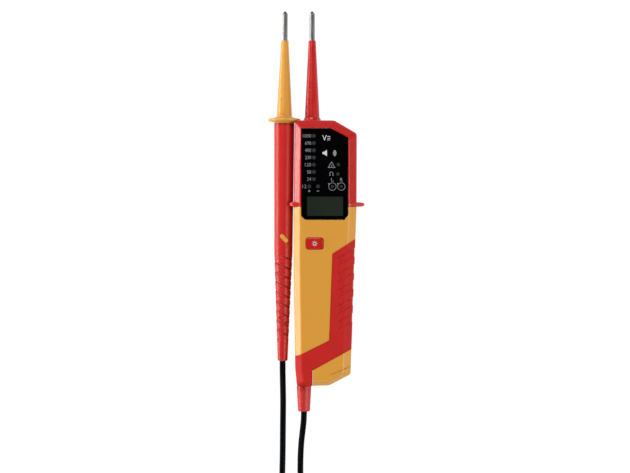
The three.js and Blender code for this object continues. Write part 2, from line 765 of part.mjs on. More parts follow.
function barrelStations(inset, low, high, count) {
  return Array.from({ length: count + 1 }, (_, i) => {
    const y = THREE.MathUtils.lerp(low, high, i / count);
    return [Math.max(barrelRadius(BARREL_TOP - y) - inset, CABLE_RADIUS + GAP), y];
  });
}

function probeBarrel() {
  const outside = [
    [0, BARREL_LOW],
    [BARREL_TAIL_DIAMETER / 2 - 0.4, BARREL_LOW],
    ...barrelStations(0, BARREL_LOW + 0.5, BARREL_TOP, 14),
    [0, BARREL_TOP],
  ];
  const bore = [
    [0, BARREL_LOW - 1],
    [CABLE_RADIUS + GAP, BARREL_LOW - 1],
    ...barrelStations(BARREL_WALL, BARREL_LOW + 10, BARREL_TOP, 10),
    [barrelRadius(0) - BARREL_WALL, BARREL_TOP + 1],
    [0, BARREL_TOP + 1],
  ];
  const { length, width, turn, aside } = LOAD_KEY;
  const slot = pill(length + 2 * GAP, width + 2 * GAP, turn, aside, LOAD_Y, 0, FAR);
  return turned(outside).subtract(turned(bore)).subtract(slot);
}

// Yellow sleeve with the finger guard disc, a collar and the spigot in the barrel.
function probeSleeve() {
  const disc = PROBE_DISC_DIAMETER / 2;
  const half = PROBE_DISC_THICKNESS / 2;
  const top = PROBE_GUARD_HEIGHT + half;
  const bottom = PROBE_GUARD_HEIGHT - half;
  const spigot = barrelRadius(SPIGOT) - BARREL_WALL - GAP;
  const collar = barrelRadius(0);
  const profile = [
    [0, BARREL_TOP - SPIGOT],
    [spigot, BARREL_TOP - SPIGOT],
    [spigot, BARREL_TOP + GAP],
    [collar, BARREL_TOP + GAP],
    [collar, bottom],
    [disc - 0.5, PROBE_GUARD_HEIGHT - 0.8],
    [disc, PROBE_GUARD_HEIGHT],
    [disc - 0.5, PROBE_GUARD_HEIGHT + 0.8],
    [SLEEVE_ROOT_DIAMETER / 2 + 1, top],
    ...sleeveProfile(top + 0.6),
    [0, SLEEVE_END],
  ];
  return turned(profile).subtract(rodHole());
}

const loadKeyTop = () => barrelRadius(LOAD_KEY.along) + LOAD_KEY.proud;

function loadKey() {
  const { length, width, turn, aside } = LOAD_KEY;
  return pill(length, width, turn, aside, LOAD_Y, KEY_FLOOR, loadKeyTop());
}

const PROBE_BOARD = { low: -50, high: 12, half: 2.9, bottom: -1.6, top: -0.4 };

function probeBoard() {
  const { low, high, half, bottom, top } = PROBE_BOARD;
  return box([-half, half], [low, high], [bottom, top]);
}

function loadSwitch() {
  const high = KEY_FLOOR - KEY_TRAVEL - GAP;
  return box([-1.7, 2.5], [LOAD_Y - 2.5, LOAD_Y + 2.5], [PROBE_BOARD.top + GAP, high]);
}

function loadResistor(y) {
  return bar(1.2, y - 4, y + 4, 0, PROBE_BOARD.top + GAP + 1.2);
}

const cableInProbe = () => bar(CABLE_RADIUS, BARREL_LOW + 0.1, PROBE_BOARD.low - 6);

function cableFerrule() {
  const low = PROBE_BOARD.low - 16;
  return bar(CABLE_RADIUS + 1, low, low + 6).subtract(bar(CABLE_RADIUS + GAP, -FAR, FAR));
}

// ---- Cable between the handles -----------------------------------------------------
const CABLE_Z = CABLE_RADIUS + 0.1; // height of a stretch that lies on the surface
const DISPLAY_LEAD = [
  [BOOT_X, BOOT_END - GAP, MIDDLE],
  [-5.9, -151, 12.6],
  [-6.6, -158, 11],
  [-7.5, -166, 8],
  [-8.1, -175, 4.8],
  [-8.3, -183, 2.8],
  [-8.2, -191, CABLE_Z],
  [-7.2, -197.4, CABLE_Z],
  [-3.8, -203.4, CABLE_Z],
  [2, -208.6, CABLE_Z],
  [9, -213.4, CABLE_Z],
  [14.3, -219, CABLE_Z],
  [16.3, -225.6, CABLE_Z],
];
const PROBE_LEAD = [
  [probeX(BARREL_LOW), BARREL_LOW - GAP, MIDDLE],
  [-20.7, -116, 12.5],
  [-20.6, -124, 10.2],
  [-20.5, -133, 6.6],
  [-20.5, -142, 3.7],
  [-20.6, -151, 2.4],
  [-20.7, -161, CABLE_Z],
  [-20.8, -173, CABLE_Z],
  [-21, -184, CABLE_Z],
  [-21.3, -191.6, CABLE_Z],
  [-22.6, -198.2, CABLE_Z],
  [-26.4, -204.6, CABLE_Z],
  [-32, -209.6, 2.4],
  [-38.6, -214.2, 3.3],
  [-43.6, -219.6, 4.5],
  [-45.4, -225.6, 5.5],
];

function lead(points) {
  const path = new THREE.CatmullRomCurve3(points.map((point) => new THREE.Vector3(...point)));
  const shape = new THREE.Shape();
  shape.absarc(0, 0, CABLE_RADIUS, 0, 2 * Math.PI, false);
  const stepLength = 9;
  const steps = Math.round(path.getLength() / stepLength);
  const options = { steps, extrudePath: path, curveSegments: 5, bevelEnabled: false };
  return solid(new THREE.ExtrudeGeometry(shape, options));
}

// The wound cable's outer shape: a flat ring, two layers high.
function coil() {
  const half = (COIL_TURNS * COIL_PITCH + CABLE_DIAMETER) / 2;
  const inner = COIL_RADIUS - half;
  const outer = COIL_RADIUS + half;
  const top = 2 * COIL_PITCH + 0.1;
  const corner = 1;
  const profile = [
    [inner + corner, 0],
    [outer - corner, 0],
    [outer, corner],
    [outer, top - corner],
    [outer - corner, top],
    [inner + corner, top],
    [inner, top - corner],
    [inner, corner],
    [inner + corner, 0],
  ].map(([radius, z]) => new THREE.Vector2(radius, z));
  const geometry = new THREE.LatheGeometry(profile, 40);
  geometry.rotateX(Math.PI / 2);
  geometry.translate(COIL_CENTRE[0], COIL_CENTRE[1], 0);
  return solid(geometry);
}

// ---- Assembly ----------------------------------------------------------------------
function displayHandle() {
  const group = new THREE.Group();
  const onAxis = (name, body, finish) => {
    const mesh = piece(name, body, finish);
    mesh.position.set(0, 0, MIDDLE);
    return mesh;
  };
  group.add(
    piece('front_shell', frontShell(), YELLOW),
    piece('rear_shell', rearShell(), YELLOW),
    piece('head_hood', headHood(), RED),
    piece('grip_sleeve', gripSleeve(), SOFT_RED),
    onAxis('display_tip_sleeve', tipSleeve(), RED),
    onAxis('display_tip_rod', tipRod(HEAD_LENGTH - 14), STEEL),
    onAxis('display_rod_socket', rodSocket(HEAD_LENGTH - 18, 11), BRASS),
    piece('display_window', displayWindow(), BLACK_GLOSS),
    piece('lcd_panel', onBoard(LCD, BODY_DEPTH - WINDOW_THICKNESS - GAP), LCD_GREY),
    piece('scale_light_guide', lightGuide(1.3, 12.6, 47.6, 8, 1.3), CLEAR),
    piece('symbol_light_guide', lightGuide(18.2, 20, 34, 3, 1.1), CLEAR),
    piece('main_board', mainBoard(), BOARD_GREEN),
    piece('key_switch', keySwitch(), BLACK),
    piece('torch_led', torchLed(), CLEAR),
    piece('buzzer', post(BUZZER.radius, BOARD_Z - GAP - BUZZER.height, BOARD_Z - GAP,
      BUZZER.x, BUZZER.y), BLACK),
    piece('vibration_motor', motorCan(), STEEL),
    piece('vibration_weight', motorWeight(), BRASS),
    piece('lamp_key', lampKey(), RED),
    piece('battery_cover', batteryCover(), YELLOW),
    piece('cover_screw', coverScrew(), STEEL),
    piece('cell_jumper', cellJumper(), TIN),
    piece('contact_block', contactBlock(), BLACK),
    piece('cable_boot', cableBoot(), RED),
    piece('cable_clamp', cableClamp(), BLACK),
    piece('cable_in_display', cableInDisplay(), CABLE_BLACK),
  );
  SCREWS.forEach(([x, y], i) => {
    group.add(piece(`housing_screw_${i + 1}`, housingScrew(x, y), STEEL));
  });
  [CELL_X, CELL_X + CELL_PITCH].forEach((x, i) => {
    group.add(
      piece(`cell_${i + 1}`, cell(x, i === 0), TIN),
      piece(`contact_spring_${i + 1}`, contactSpring(x), STEEL),
      piece(`contact_plate_${i + 1}`, contactPlate(x), TIN),
    );
  });
  return group;
}

function probeHandle() {
  const group = new THREE.Group();
  group.add(
    piece('probe_barrel', probeBarrel(), RED),
    piece('probe_sleeve', probeSleeve(), YELLOW),
    piece('probe_tip_rod', tipRod(PROBE_BOARD.high + 6), STEEL),
    piece('probe_rod_socket', rodSocket(PROBE_BOARD.high + 1, 12), BRASS),
    piece('load_key', loadKey(), YELLOW),
    piece('load_switch', loadSwitch(), BLACK),
    piece('probe_board', probeBoard(), BOARD_GREEN),
    piece('load_resistor_1', loadResistor(PROBE_BOARD.high - 7), BLACK),
    piece('load_resistor_2', loadResistor(PROBE_BOARD.low + 7), BLACK),
    piece('cable_ferrule', cableFerrule(), BRASS),
    piece('cable_in_probe', cableInProbe(), CABLE_BLACK),
  );
  // The handle leans about the point of its tip.
  const lean = new THREE.Group();
  group.position.set(0, -TIP_END, 0);
  lean.add(group);
  lean.position.set(-TIP_PITCH, TIP_END, MIDDLE);
  lean.rotation.z = -degrees(PROBE_LEAN);
  return lean;
}

function cable() {
  const group = new THREE.Group();
  group.add(
    piece('cable_lead_display', lead(DISPLAY_LEAD), CABLE_BLACK),
    piece('cable_coil', coil(), CABLE_BLACK),
    piece('cable_lead_probe', lead(PROBE_LEAD), CABLE_BLACK),
  );
  return group;
}

const tester = new THREE.Group();
tester.add(displayHandle(), probeHandle(), cable());

export default tester;
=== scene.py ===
"""Two-pole voltage tester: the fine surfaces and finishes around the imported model.

The display handle lies on its back with the probe handle clipped beside it, and one cable
joins the two. +Y runs towards the tips and +Z out of the display. Shapes are worked out in
millimetres and put into meshes in metres.
"""
import json
import math

import bpy
import numpy as np
from bpy.props import FloatProperty, FloatVectorProperty, IntProperty, PointerProperty
from bpy.types import Operator, Panel, PropertyGroup
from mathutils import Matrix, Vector


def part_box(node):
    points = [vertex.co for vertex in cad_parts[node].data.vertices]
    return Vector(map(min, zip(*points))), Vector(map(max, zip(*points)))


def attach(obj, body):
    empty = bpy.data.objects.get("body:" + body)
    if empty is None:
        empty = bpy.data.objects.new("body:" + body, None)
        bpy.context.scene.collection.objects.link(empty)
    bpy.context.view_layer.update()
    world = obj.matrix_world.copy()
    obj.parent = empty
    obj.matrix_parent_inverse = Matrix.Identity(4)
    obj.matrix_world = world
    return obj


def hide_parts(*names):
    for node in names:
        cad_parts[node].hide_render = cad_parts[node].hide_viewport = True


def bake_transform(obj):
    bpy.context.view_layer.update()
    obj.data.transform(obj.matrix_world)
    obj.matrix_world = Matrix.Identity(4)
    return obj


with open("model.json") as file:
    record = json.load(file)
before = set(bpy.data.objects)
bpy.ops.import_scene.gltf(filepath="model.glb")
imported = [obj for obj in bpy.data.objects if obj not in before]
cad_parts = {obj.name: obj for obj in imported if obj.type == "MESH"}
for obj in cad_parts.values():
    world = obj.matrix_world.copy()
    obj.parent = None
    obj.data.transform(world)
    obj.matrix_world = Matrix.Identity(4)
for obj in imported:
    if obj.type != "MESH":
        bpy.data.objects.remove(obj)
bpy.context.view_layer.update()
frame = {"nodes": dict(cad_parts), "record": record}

bl_info = {
    "name": "Two-pole voltage tester",
    "version": (1, 0, 0),
    "blender": (4, 5, 0),
    "location": "View3D > Sidebar > Tester",
    "description": "Builds the surfaces and finishes of a two-pole voltage tester",
    "category": "Add Mesh",
}

MM = 0.001
FAR = 300.0  # longer than the handles, for solids that cut right through


def span(node):
    """Lowest and highest corner of a model node, in millimetres."""
    low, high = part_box(node)
    return np.array(low) / MM, np.array(high) / MM


def middle_of(node):
    """Middle of a model node, in millimetres."""
    low, high = span(node)
    return (low + high) / 2


HOOD_LOW, HOOD_HIGH = span("head_hood")
SHELL_LOW, SHELL_HIGH = span("front_shell")
WINDOW_LOW, WINDOW_HIGH = span("display_window")
LCD_LOW, LCD_HIGH = span("lcd_panel")
KEY_LOW, KEY_HIGH = span("lamp_key")
ROD_LOW, ROD_HIGH = span("display_tip_rod")
SLEEVE_LOW, SLEEVE_HIGH = span("display_tip_sleeve")
SCREW_LOW, SCREW_HIGH = span("cover_screw")

TOP = 58.6  # guard to the top edge of the head
BOTTOM = float(span("grip_sleeve")[0][1])
LEFT = float(SHELL_LOW[0])
RIGHT = float(SHELL_HIGH[0]) + 0.2
BASE_RIGHT = 26.8  # right end of the bottom edge
FRONT = float(HOOD_HIGH[2])
MIDDLE = FRONT / 2
GUARD_LOW = float(HOOD_LOW[1])
BOOT_X = float(middle_of("cable_boot")[0])
SCREW_X, _, SCREW_Z = middle_of("cover_screw")
TIP_END = float(ROD_HIGH[1])
TIP_PITCH = 19.0
PROBE_LEAN = math.radians(0.4)
PROBE_GUARD = 59.15  # middle of the probe's finger guard
BARREL_TOP = 56.55
BARREL_LENGTH = 166.0
BARREL_LOW = BARREL_TOP - BARREL_LENGTH
BARREL_WAIST = 90.0  # from the barrel's top down to where its taper steepens
BARREL_RADII = (7.1, 6.4, 3.45)  # at the top, the waist and the lower end
CRADLE_GAP = 0.5  # between the barrel and its cradle
DISC_RADIUS = 11.35  # finger guard of the probe
NOTCH_LOW = 57.25  # lower end of the head's notch for that guard
SLEEVE_SEAT = 5.02  # radius of the collar's hole for the tip sleeve
TORCH_X = 9.5
TORCH_RADIUS = 2.8


# ---- Sizes and colours that a user would change ----
def measure(label, value, note):
    """A size in millimetres, or a number that needs no unit."""
    return FloatProperty(name=label, default=value, description=note)


def count_of(label, value, note):
    """A whole number of like features."""
    return IntProperty(name=label, default=value, description=note)


class HandleSizes(PropertyGroup):
    """Sizes of the display handle's housing, in millimetres."""

    wall: measure("Wall", 2.4, "Full wall of the housing")
    seam: measure("Seam", 0.09, "Half the gap where two mouldings meet")
    edge: measure("Edge radius", 1.0, "Rounding of the housing's edges")
    scoop: measure("Scoop depth", 0.8, "Depth of the grip's finger scoops")
    scoop_count: count_of("Scoops", 5, "Number of finger scoops")
    scoop_pitch: measure("Scoop pitch", 11.1, "Distance between scoops")


class ProbeSizes(PropertyGroup):
    """Sizes of the probe handle, in millimetres."""

    groove_lead: measure("Groove lead", 13.3, "Rise of the grip's spiral groove in one turn")
    groove_depth: measure("Groove depth", 0.55, "Depth of the spiral groove")
    groove_starts: count_of("Groove starts", 2, "Number of grooves that run side by side")


class CableSizes(PropertyGroup):
    """Sizes of the cable, in millimetres."""

    diameter: measure("Diameter", 4.2, "Outside of the jacket")
    coil_radius: measure("Coil radius", 24.0, "Centre of the coil to the middle of its turns")
    coil_pitch: measure("Coil pitch", 4.3, "Distance between neighbouring turns")
    coil_turns: measure("Turns in a layer", 3.25, "Turns in each of the coil's two layers")


def colour_property(label, value):
    """A colour without alpha, shown as a swatch."""
    return FloatVectorProperty(name=label, subtype="COLOR", size=3, min=0.0, max=1.0,
                               default=value, description=f"{label}, linear")


class FinishColours(PropertyGroup):
    """Base colours of the finishes, linear."""

    yellow: colour_property("Yellow housing", (0.62, 0.285, 0.036))
    red: colour_property("Red housing", (0.46, 0.010, 0.008))
    grip: colour_property("Soft grip", (0.46, 0.012, 0.009))
    window: colour_property("Display window", (0.0007, 0.0007, 0.0009))
    lcd: colour_property("LCD", (0.012, 0.018, 0.012))
    print: colour_property("Printed marks", (0.20, 0.21, 0.22))
    bright_print: colour_property("Bright signs", (0.58, 0.58, 0.57))
    lamp: colour_property("Unlit lamps", (0.012, 0.014, 0.018))
    cable: colour_property("Cable jacket", (0.0010, 0.0013, 0.0022))


# ---- Outlines ----
def moved_in(outline, distances):
    """Outline with each edge moved inwards by its own distance.

    Edge i runs from corner i to corner i + 1, anticlockwise. Every edge line is shifted
    along its inward normal, and corner i is where the shifted edges i - 1 and i cross.
    """
    distances = np.broadcast_to(np.asarray(distances, float), len(outline))
    along = np.roll(outline, -1, axis=0) - outline
    along /= np.linalg.norm(along, axis=1, keepdims=True)
    inward = np.stack([-along[:, 1], along[:, 0]], axis=1)
    level = np.einsum("ij,ij->i", inward, outline) + distances
    before = np.roll(inward, 1, axis=0)
    level_before = np.roll(level, 1)
    cross = before[:, 0] * inward[:, 1] - before[:, 1] * inward[:, 0]
    x = (level_before * inward[:, 1] - level * before[:, 1]) / cross
    y = (level * before[:, 0] - level_before * inward[:, 0]) / cross
    return np.stack([x, y], axis=1)


def corner_curves(before, corner, after, reach, share, samples):
    """Quadratic curves that round the corners between neighbouring points.

    Each runs between two points on its corner's edges, at most a share of the shorter edge
    away, with the corner as middle control point: p(s) = (1-s)^2 a + 2s(1-s) c + s^2 b.
    """
    back = before - corner
    ahead = after - corner
    back_length = np.linalg.norm(back, axis=1, keepdims=True)
    ahead_length = np.linalg.norm(ahead, axis=1, keepdims=True)
    reach = np.minimum(reach, share * np.minimum(back_length, ahead_length))
    start = (corner + back / back_length * reach)[:, None]
    end = (corner + ahead / ahead_length * reach)[:, None]
    s = np.linspace(0.0, 1.0, samples)[None, :, None]
    curve = (1 - s) ** 2 * start + 2 * s * (1 - s) * corner[:, None] + s ** 2 * end
    return curve.reshape(-1, corner.shape[1])


def softened(outline, radius):
    """Closed outline with rounded corners."""
    before = np.roll(outline, 1, axis=0)
    after = np.roll(outline, -1, axis=0)
    return corner_curves(before, outline, after, radius, 0.4, 6)


def eased(points, reach, samples=5):
    """Open polyline with its inner corners rounded."""
    points = np.asarray(points, float)
    curve = corner_curves(points[:-2], points[1:-1], points[2:], reach, 0.45, samples)
    return np.vstack([points[:1], curve, points[-1:]])


def around(count):
    """Even angles of a full turn."""
    return np.linspace(0.0, 2 * np.pi, count, endpoint=False)


def circle(radius, count=24, centre=(0.0, 0.0)):
    """Points of a circle, anticlockwise."""
    angle = around(count)
    return np.stack([radius * np.cos(angle), radius * np.sin(angle)], axis=1) + centre


def spun(points, angle):
    """Points of the plane turned anticlockwise about the origin."""
    return points @ np.array([[math.cos(angle), math.sin(angle)],
                              [-math.sin(angle), math.cos(angle)]])


def rectangle(low, high):
    """Corners of a rectangle, anticlockwise."""
    return np.array([low, (high[0], low[1]), high, (low[0], high[1])], float)


# ---- Meshes ----
def make_object(name, points, faces):
    """Object at the origin whose mesh holds the given points, millimetres turned to metres."""
    mesh = bpy.data.meshes.new(name)
    mesh.from_pydata((np.asarray(points, float) * MM).tolist(), [], faces)
    mesh.validate()
    mesh.update()
    obj = bpy.data.objects.new(name, mesh)
    bpy.context.scene.collection.objects.link(obj)
    return obj


def points_of(mesh):
    """Points of a mesh, in millimetres."""
    points = np.empty(len(mesh.vertices) * 3)
    mesh.vertices.foreach_get("co", points)
    return points.reshape(-1, 3) / MM


def set_points(obj, points):
    """Puts points in millimetres back into an object's mesh."""
    obj.data.vertices.foreach_set("co", (points * MM).ravel())
    obj.data.update()
    return obj


def shift_up(obj, distance):
    """Moves a piece along Z."""
    return set_points(obj, points_of(obj.data) + [0.0, 0.0, distance])


def loft(name, rings):
    """Closed skin through rings of equal point count, with a flat face on each end.

    rings has the shape (rings, points, 3); the faces point outwards when the points run
    anticlockwise as seen from beyond the last ring.
    """
    count, size, _ = rings.shape
    index = np.arange(count * size).reshape(count, size)
    lower = index[:-1]
    upper = index[1:]
    quads = np.stack([lower, np.roll(lower, -1, 1), np.roll(upper, -1, 1), upper], axis=-1)
    faces = quads.reshape(-1, 4).tolist()
    faces.append(index[0, ::-1].tolist())
    faces.append(index[-1].tolist())
    return make_object(name, rings.reshape(-1, 3), faces)


def stacked(name, outlines, heights):
    """Loft through outlines in the XY plane at the given heights along Z."""
    rings = [np.column_stack([o, np.full(len(o), z)]) for o, z in zip(outlines, heights)]
    return loft(name, np.array(rings))


def prism(name, outline, low, high, edge=0.0, corner=0.0):
    """Solid with the outline as its section along Z, with slightly rounded end edges."""
    outline = np.asarray(outline, float)
    steps = np.array([[edge, 0.0], [0.3 * edge, 0.3 * edge], [0.0, edge]])
    profile = np.vstack([
        steps + [0.0, low],
        (steps * [1, -1])[::-1] + [0.0, high],
    ]) if edge > 0 else np.array([[0.0, low], [0.0, high]])
    outlines = [moved_in(outline, inset) for inset in profile[:, 0]]
    if corner > 0:
        outlines = [softened(o, corner) for o in outlines]
    return stacked(name, outlines, profile[:, 1])


def turned(name, profile, x=0.0, z=0.0, segments=48):
    """Surface of revolution about the Y direction through (x, z).

    The profile is a list of (radius, y) with rising y; a point is
    (x + r cos t, y, z - r sin t), so that the skin's faces point outwards. A point on the
    axis gets a tiny radius, so that its ring keeps an area.
    """
    profile = np.asarray(profile, float)
    profile[:, 0] = np.maximum(profile[:, 0], 0.02)
    angle = around(segments)
    radius = profile[:, 0][:, None]
    rings = np.stack([
        x + radius * np.cos(angle),
        np.repeat(profile[:, 1][:, None], segments, axis=1),
        z - radius * np.sin(angle),
    ], axis=-1)
    return loft(name, rings)


def bar(radius, low, high, x=0.0, z=0.0, segments=48):
    """Plain round bar along Y."""
    return turned("bar", [(radius, low), (radius, high)], x, z, segments)


def post(radius, low, high, x, y, segments=32):
    """Plain round bar along Z."""
    return prism("post", circle(radius, segments, (x, y)), low, high)


def block(low, high):
    """Plain box."""
    return prism("block", rectangle(low[:2], high[:2]), low[2], high[2])


def take_mesh(obj, graph):
    """Replaces an object's mesh by its evaluated one and drops the modifiers."""
    result = bpy.data.meshes.new_from_object(obj.evaluated_get(graph))
    old = obj.data
    obj.modifiers.clear()
    obj.data = result
    bpy.data.meshes.remove(old)


def combine(target, operation, *tools):
    """Joins, cuts or intersects closed solids; the tools are used up."""
    for tool in tools:
        modifier = target.modifiers.new("shape", "BOOLEAN")
        modifier.operation = operation
        modifier.solver = "MANIFOLD"
        modifier.object = tool
    bpy.context.view_layer.update()
    take_mesh(target, bpy.context.evaluated_depsgraph_get())
    for tool in tools:
        mesh = tool.data
        bpy.data.objects.remove(tool)
        bpy.data.meshes.remove(mesh)
    if not target.data.polygons:
        raise RuntimeError(f"{target.name} lost its mesh in a boolean")
    return target


def cut(target, *tools):
    """Target less the tools."""
    return combine(target, "DIFFERENCE", *tools)


def joined(target, *tools):
    """Target and tools as one solid."""
    return combine(target, "UNION", *tools)


def kept(target, *tools):
    """What target shares with the tools."""
    return combine(target, "INTERSECT", *tools)


def merged(name, parts):
    """Several loose meshes in one object, without joining their solids."""
    points = []
    faces = []
    start = 0
    for part in parts:
        mesh = part.data
        points.append(points_of(mesh))
        faces += [[start + v for v in polygon.vertices] for polygon in mesh.polygons]
        start += len(mesh.vertices)
        bpy.data.objects.remove(part)
    return make_object(name, np.vstack(points), faces)


def smooth(obj, angle=32.0, weighted=True):
    """Smooth shading that breaks at real edges, and normals led by the large faces."""
    obj.data.polygons.foreach_set("use_smooth", [True] * len(obj.data.polygons))
    obj.data.set_sharp_from_angle(angle=math.radians(angle))
    if weighted:
        modifier = obj.modifiers.new("normals", "WEIGHTED_NORMAL")
        modifier.keep_sharp = True
        modifier.weight = 70


def place(obj, body, finish, nodes=(), angle=32.0, weighted=True):
    """Gives a finished piece its finish and its place in the tester."""
    smooth(obj, angle, weighted)
    obj.data.materials.clear()
    obj.data.materials.append(FINISHES[finish])
    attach(obj, body)
    if nodes:
        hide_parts(*nodes)


def stand_for(node, obj, body, finish, angle=32.0):
    """Places a piece that stands for one model node and is named after it."""
    obj.name = f"{node}_surface"
    place(obj, body, finish, [node], angle)


def lean(obj):
    """Turns a piece drawn about the Y axis into the clipped probe handle's place."""
    points = points_of(obj.data)
    points[:, :2] = spun(points[:, :2] - [0.0, TIP_END], -PROBE_LEAN) + [-TIP_PITCH, TIP_END]
    points[:, 2] += MIDDLE
    return set_points(obj, points)


# ---- Finishes ----
class Number:
    """A number socket of a node tree, on which the usual operators add Math nodes."""

    def __init__(self, tree, socket):
        self.tree = tree
        self.socket = socket

    def math(self, operation, other=None, swapped=False):
        """One Math node on this number and another number or constant."""
        node = self.tree.nodes.new("ShaderNodeMath")
        node.operation = operation
        values = [self] if other is None else [self, other]
        if swapped:
            values.reverse()
        for socket, value in zip(node.inputs, values):
            if isinstance(value, Number):
                self.tree.links.new(value.socket, socket)
            else:
                socket.default_value = value
        return Number(self.tree, node.outputs[0])

    def __add__(self, other):
        return self.math("ADD", other)

    def __sub__(self, other):
        return self.math("SUBTRACT", other)

    def __rsub__(self, other):
        return self.math("SUBTRACT", other, swapped=True)

    def __mul__(self, other):
        return self.math("MULTIPLY", other)

    def above(self, level):
        """One where the number is above the level, nought elsewhere."""
        return self.math("GREATER_THAN", level)

    __radd__ = __add__
    __rmul__ = __mul__


class Nodes:
    """A node tree that is being put together."""

    def __init__(self, tree):
        self.tree = tree

    def put(self, value, socket):
        """Links a number or socket to a socket, or sets a constant on it."""
        if isinstance(value, Number):
            self.tree.links.new(value.socket, socket)
        elif isinstance(value, bpy.types.NodeSocket):
            self.tree.links.new(value, socket)
        else:
            socket.default_value = value

    def add(self, kind, inputs=None, **settings):
        """A node of any type, its settings first and then its sockets by name or place."""
        node = self.tree.nodes.new(kind)
        for label, value in settings.items():
            setattr(node, label, value)
        for label, value in (inputs or {}).items():
            self.put(value, node.inputs[label])
        return node


class Finish(Nodes):
    """A Principled material that is being put together."""

    def __init__(self, name, **constants):
        self.material = bpy.data.materials.new(name)
        self.material.use_nodes = True
        super().__init__(self.material.node_tree)
        self.shader = self.tree.nodes["Principled BSDF"]
        for label, value in constants.items():
            self.shader.inputs[label.replace("_", " ")].default_value = value
        self.place = self.add("ShaderNodeTexCoord").outputs["Object"]

    def stretched(self, factors):
        """Object coordinates stretched along the axes."""
        inputs = {"Vector": self.place, "Scale": factors}
        return self.add("ShaderNodeMapping", inputs).outputs["Vector"]

    def noise(self, scale, detail=2.0, roughness=0.5, vector=None):
        """Noise from nought to one; the scale is in cycles a metre."""
        node = self.add("ShaderNodeTexNoise", {
            "Vector": vector or self.place, "Scale": scale, "Detail": detail,
            "Roughness": roughness,
        })
        return Number(self.tree, node.outputs["Fac"])

    def cells(self, scale):
        """Distance to the nearest cell centre, for a pebbled texture."""
        node = self.add("ShaderNodeTexVoronoi", {"Vector": self.place, "Scale": scale})
        return Number(self.tree, node.outputs["Distance"])

    def blend(self, factor, low, high):
        """Colour between two colours."""
        node = self.add("ShaderNodeMix", {0: factor, 6: low, 7: high}, data_type="RGBA")
        return node.outputs[2]

    def skin(self, tone, colours, roughness, relief, depth):
        """Colour between two along the tone, a roughness, and a relief with a depth in metres."""
        bump = self.add("ShaderNodeBump", {"Height": relief, "Distance": depth})
        for label, value in (("Base Color", self.blend(tone, *colours)),
                             ("Roughness", roughness), ("Normal", bump.outputs["Normal"])):
            self.put(value, self.shader.inputs[label])
        return self.material


def shade(colour, factor):
    """Colour times a factor, as RGBA."""
    return tuple(min(1.0, channel * factor) for channel in colour) + (1.0,)


def tones(colour, low, high):
    """Darker and lighter tone of a colour."""
    return shade(colour, low), shade(colour, high)


GROOVE_LAYER = "groove"  # mesh layer that is one in the barrel's grooves; the barrel's finish paints shade and dullness with it
GRAIN = 2600.0  # spark grain of the moulds, in cycles a metre
GRAIN_DEPTH = 0.00003


def moulded(name, colour, roughness=0.34):
    """Fine-textured moulded plastic: faint flow marks, rubbed patches and spark grain."""
    finish = Finish(name, IOR=1.5, Specular_IOR_Level=0.5)
    flow = finish.noise(14.0, 3.0, 0.55, finish.stretched((1.0, 0.25, 1.0)))
    rubbed = finish.noise(70.0, 4.0, 0.6)
    return finish.skin(flow, tones(colour, 0.93, 1.06), roughness - 0.06 + 0.14 * rubbed,
                       finish.noise(GRAIN) + 0.25 * rubbed, GRAIN_DEPTH)


def barrel_moulding(name, colour):
    """The probe barrel's moulding, with shade painted darker into its grooves, which are also
    duller.
    """
    finish = Finish(name, IOR=1.5, Specular_IOR_Level=0.4)
    layer = finish.add("ShaderNodeAttribute", attribute_name=GROOVE_LAYER)
    # painted shade: the groove layer darkens the colour in the grooves, where shade falls in the
    # recesses
    groove_shade = Number(finish.tree, layer.outputs["Fac"])
    rubbed = finish.noise(70.0, 4.0, 0.6)
    tone_outside_grooves = finish.blend(rubbed, *tones(colour, 0.94, 1.06))
    return finish.skin(groove_shade * 0.85, (tone_outside_grooves, shade(colour, 0.3)),
                       0.32 + 0.12 * rubbed + 0.3 * groove_shade, finish.noise(GRAIN), GRAIN_DEPTH)


def soft_touch(name, colour):
    """Matte overmoulded rubber with a pebbled skin and slightly shiny handled spots."""
    finish = Finish(name, IOR=1.45, Specular_IOR_Level=0.2)
    worn = finish.noise(90.0, 4.0, 0.6)
    pebbles = finish.cells(1500.0) + 0.4 * finish.noise(3000.0)
    return finish.skin(worn, tones(colour, 0.88, 1.1), 0.5 + 0.18 * worn, pebbles, 0.00004)


def gloss_window(name, colour):
    """Black polished window with faint wiping marks."""
    finish = Finish(name, IOR=1.49)
    smear = finish.noise(60.0, 4.0, 0.6, finish.stretched((1.0, 0.3, 1.0)))
    return finish.skin(smear, tones(colour, 0.8, 1.3), 0.07 + 0.07 * smear,
                       finish.noise(400.0), 0.000002)


def lcd_glass(name, colour):
    """Dim greenish LCD behind its window, with the faint grid of its segments."""
    finish = Finish(name, IOR=1.5)
    grid = finish.noise(500.0, 1.0, 0.5, finish.stretched((1.0, 0.05, 1.0)))
    broad = finish.noise(40.0)
    return finish.skin(0.6 * broad + 0.4 * grid, tones(colour, 0.8, 1.25),
                       0.18 + 0.08 * broad, grid, 0.000002)


def ink(name, colour, roughness=0.5):
    """Screen-printed ink, slightly uneven."""
    finish = Finish(name, IOR=1.5)
    patch = finish.noise(900.0, 3.0)
    return finish.skin(patch, tones(colour, 0.85, 1.1), roughness + 0.1 * patch, patch,
                       0.000004)


def metal(name, colour, roughness=0.22, dark_from=None):
    """Turned metal: fine tool lines round it, small stains, and a darkened point."""
    finish = Finish(name, Metallic=1.0)
    tool_lines = finish.noise(900.0, vector=finish.stretched((1.0, 12.0, 1.0)))
    stain = finish.noise(160.0, 4.0, 0.6)
    if dark_from is None:
        return finish.skin(stain, tones(colour, 0.82, 1.08), roughness + 0.12 * stain,
                           tool_lines, 0.0000015)
    body = finish.blend(stain, *tones(colour, 0.82, 1.08))
    axes = finish.add("ShaderNodeSeparateXYZ", {"Vector": finish.place})
    point = Number(finish.tree, axes.outputs["Y"]).above(dark_from * MM)
    return finish.skin(point, (body, shade(colour, 0.16)), roughness + 0.12 * stain,
                       tool_lines, 0.0000015)


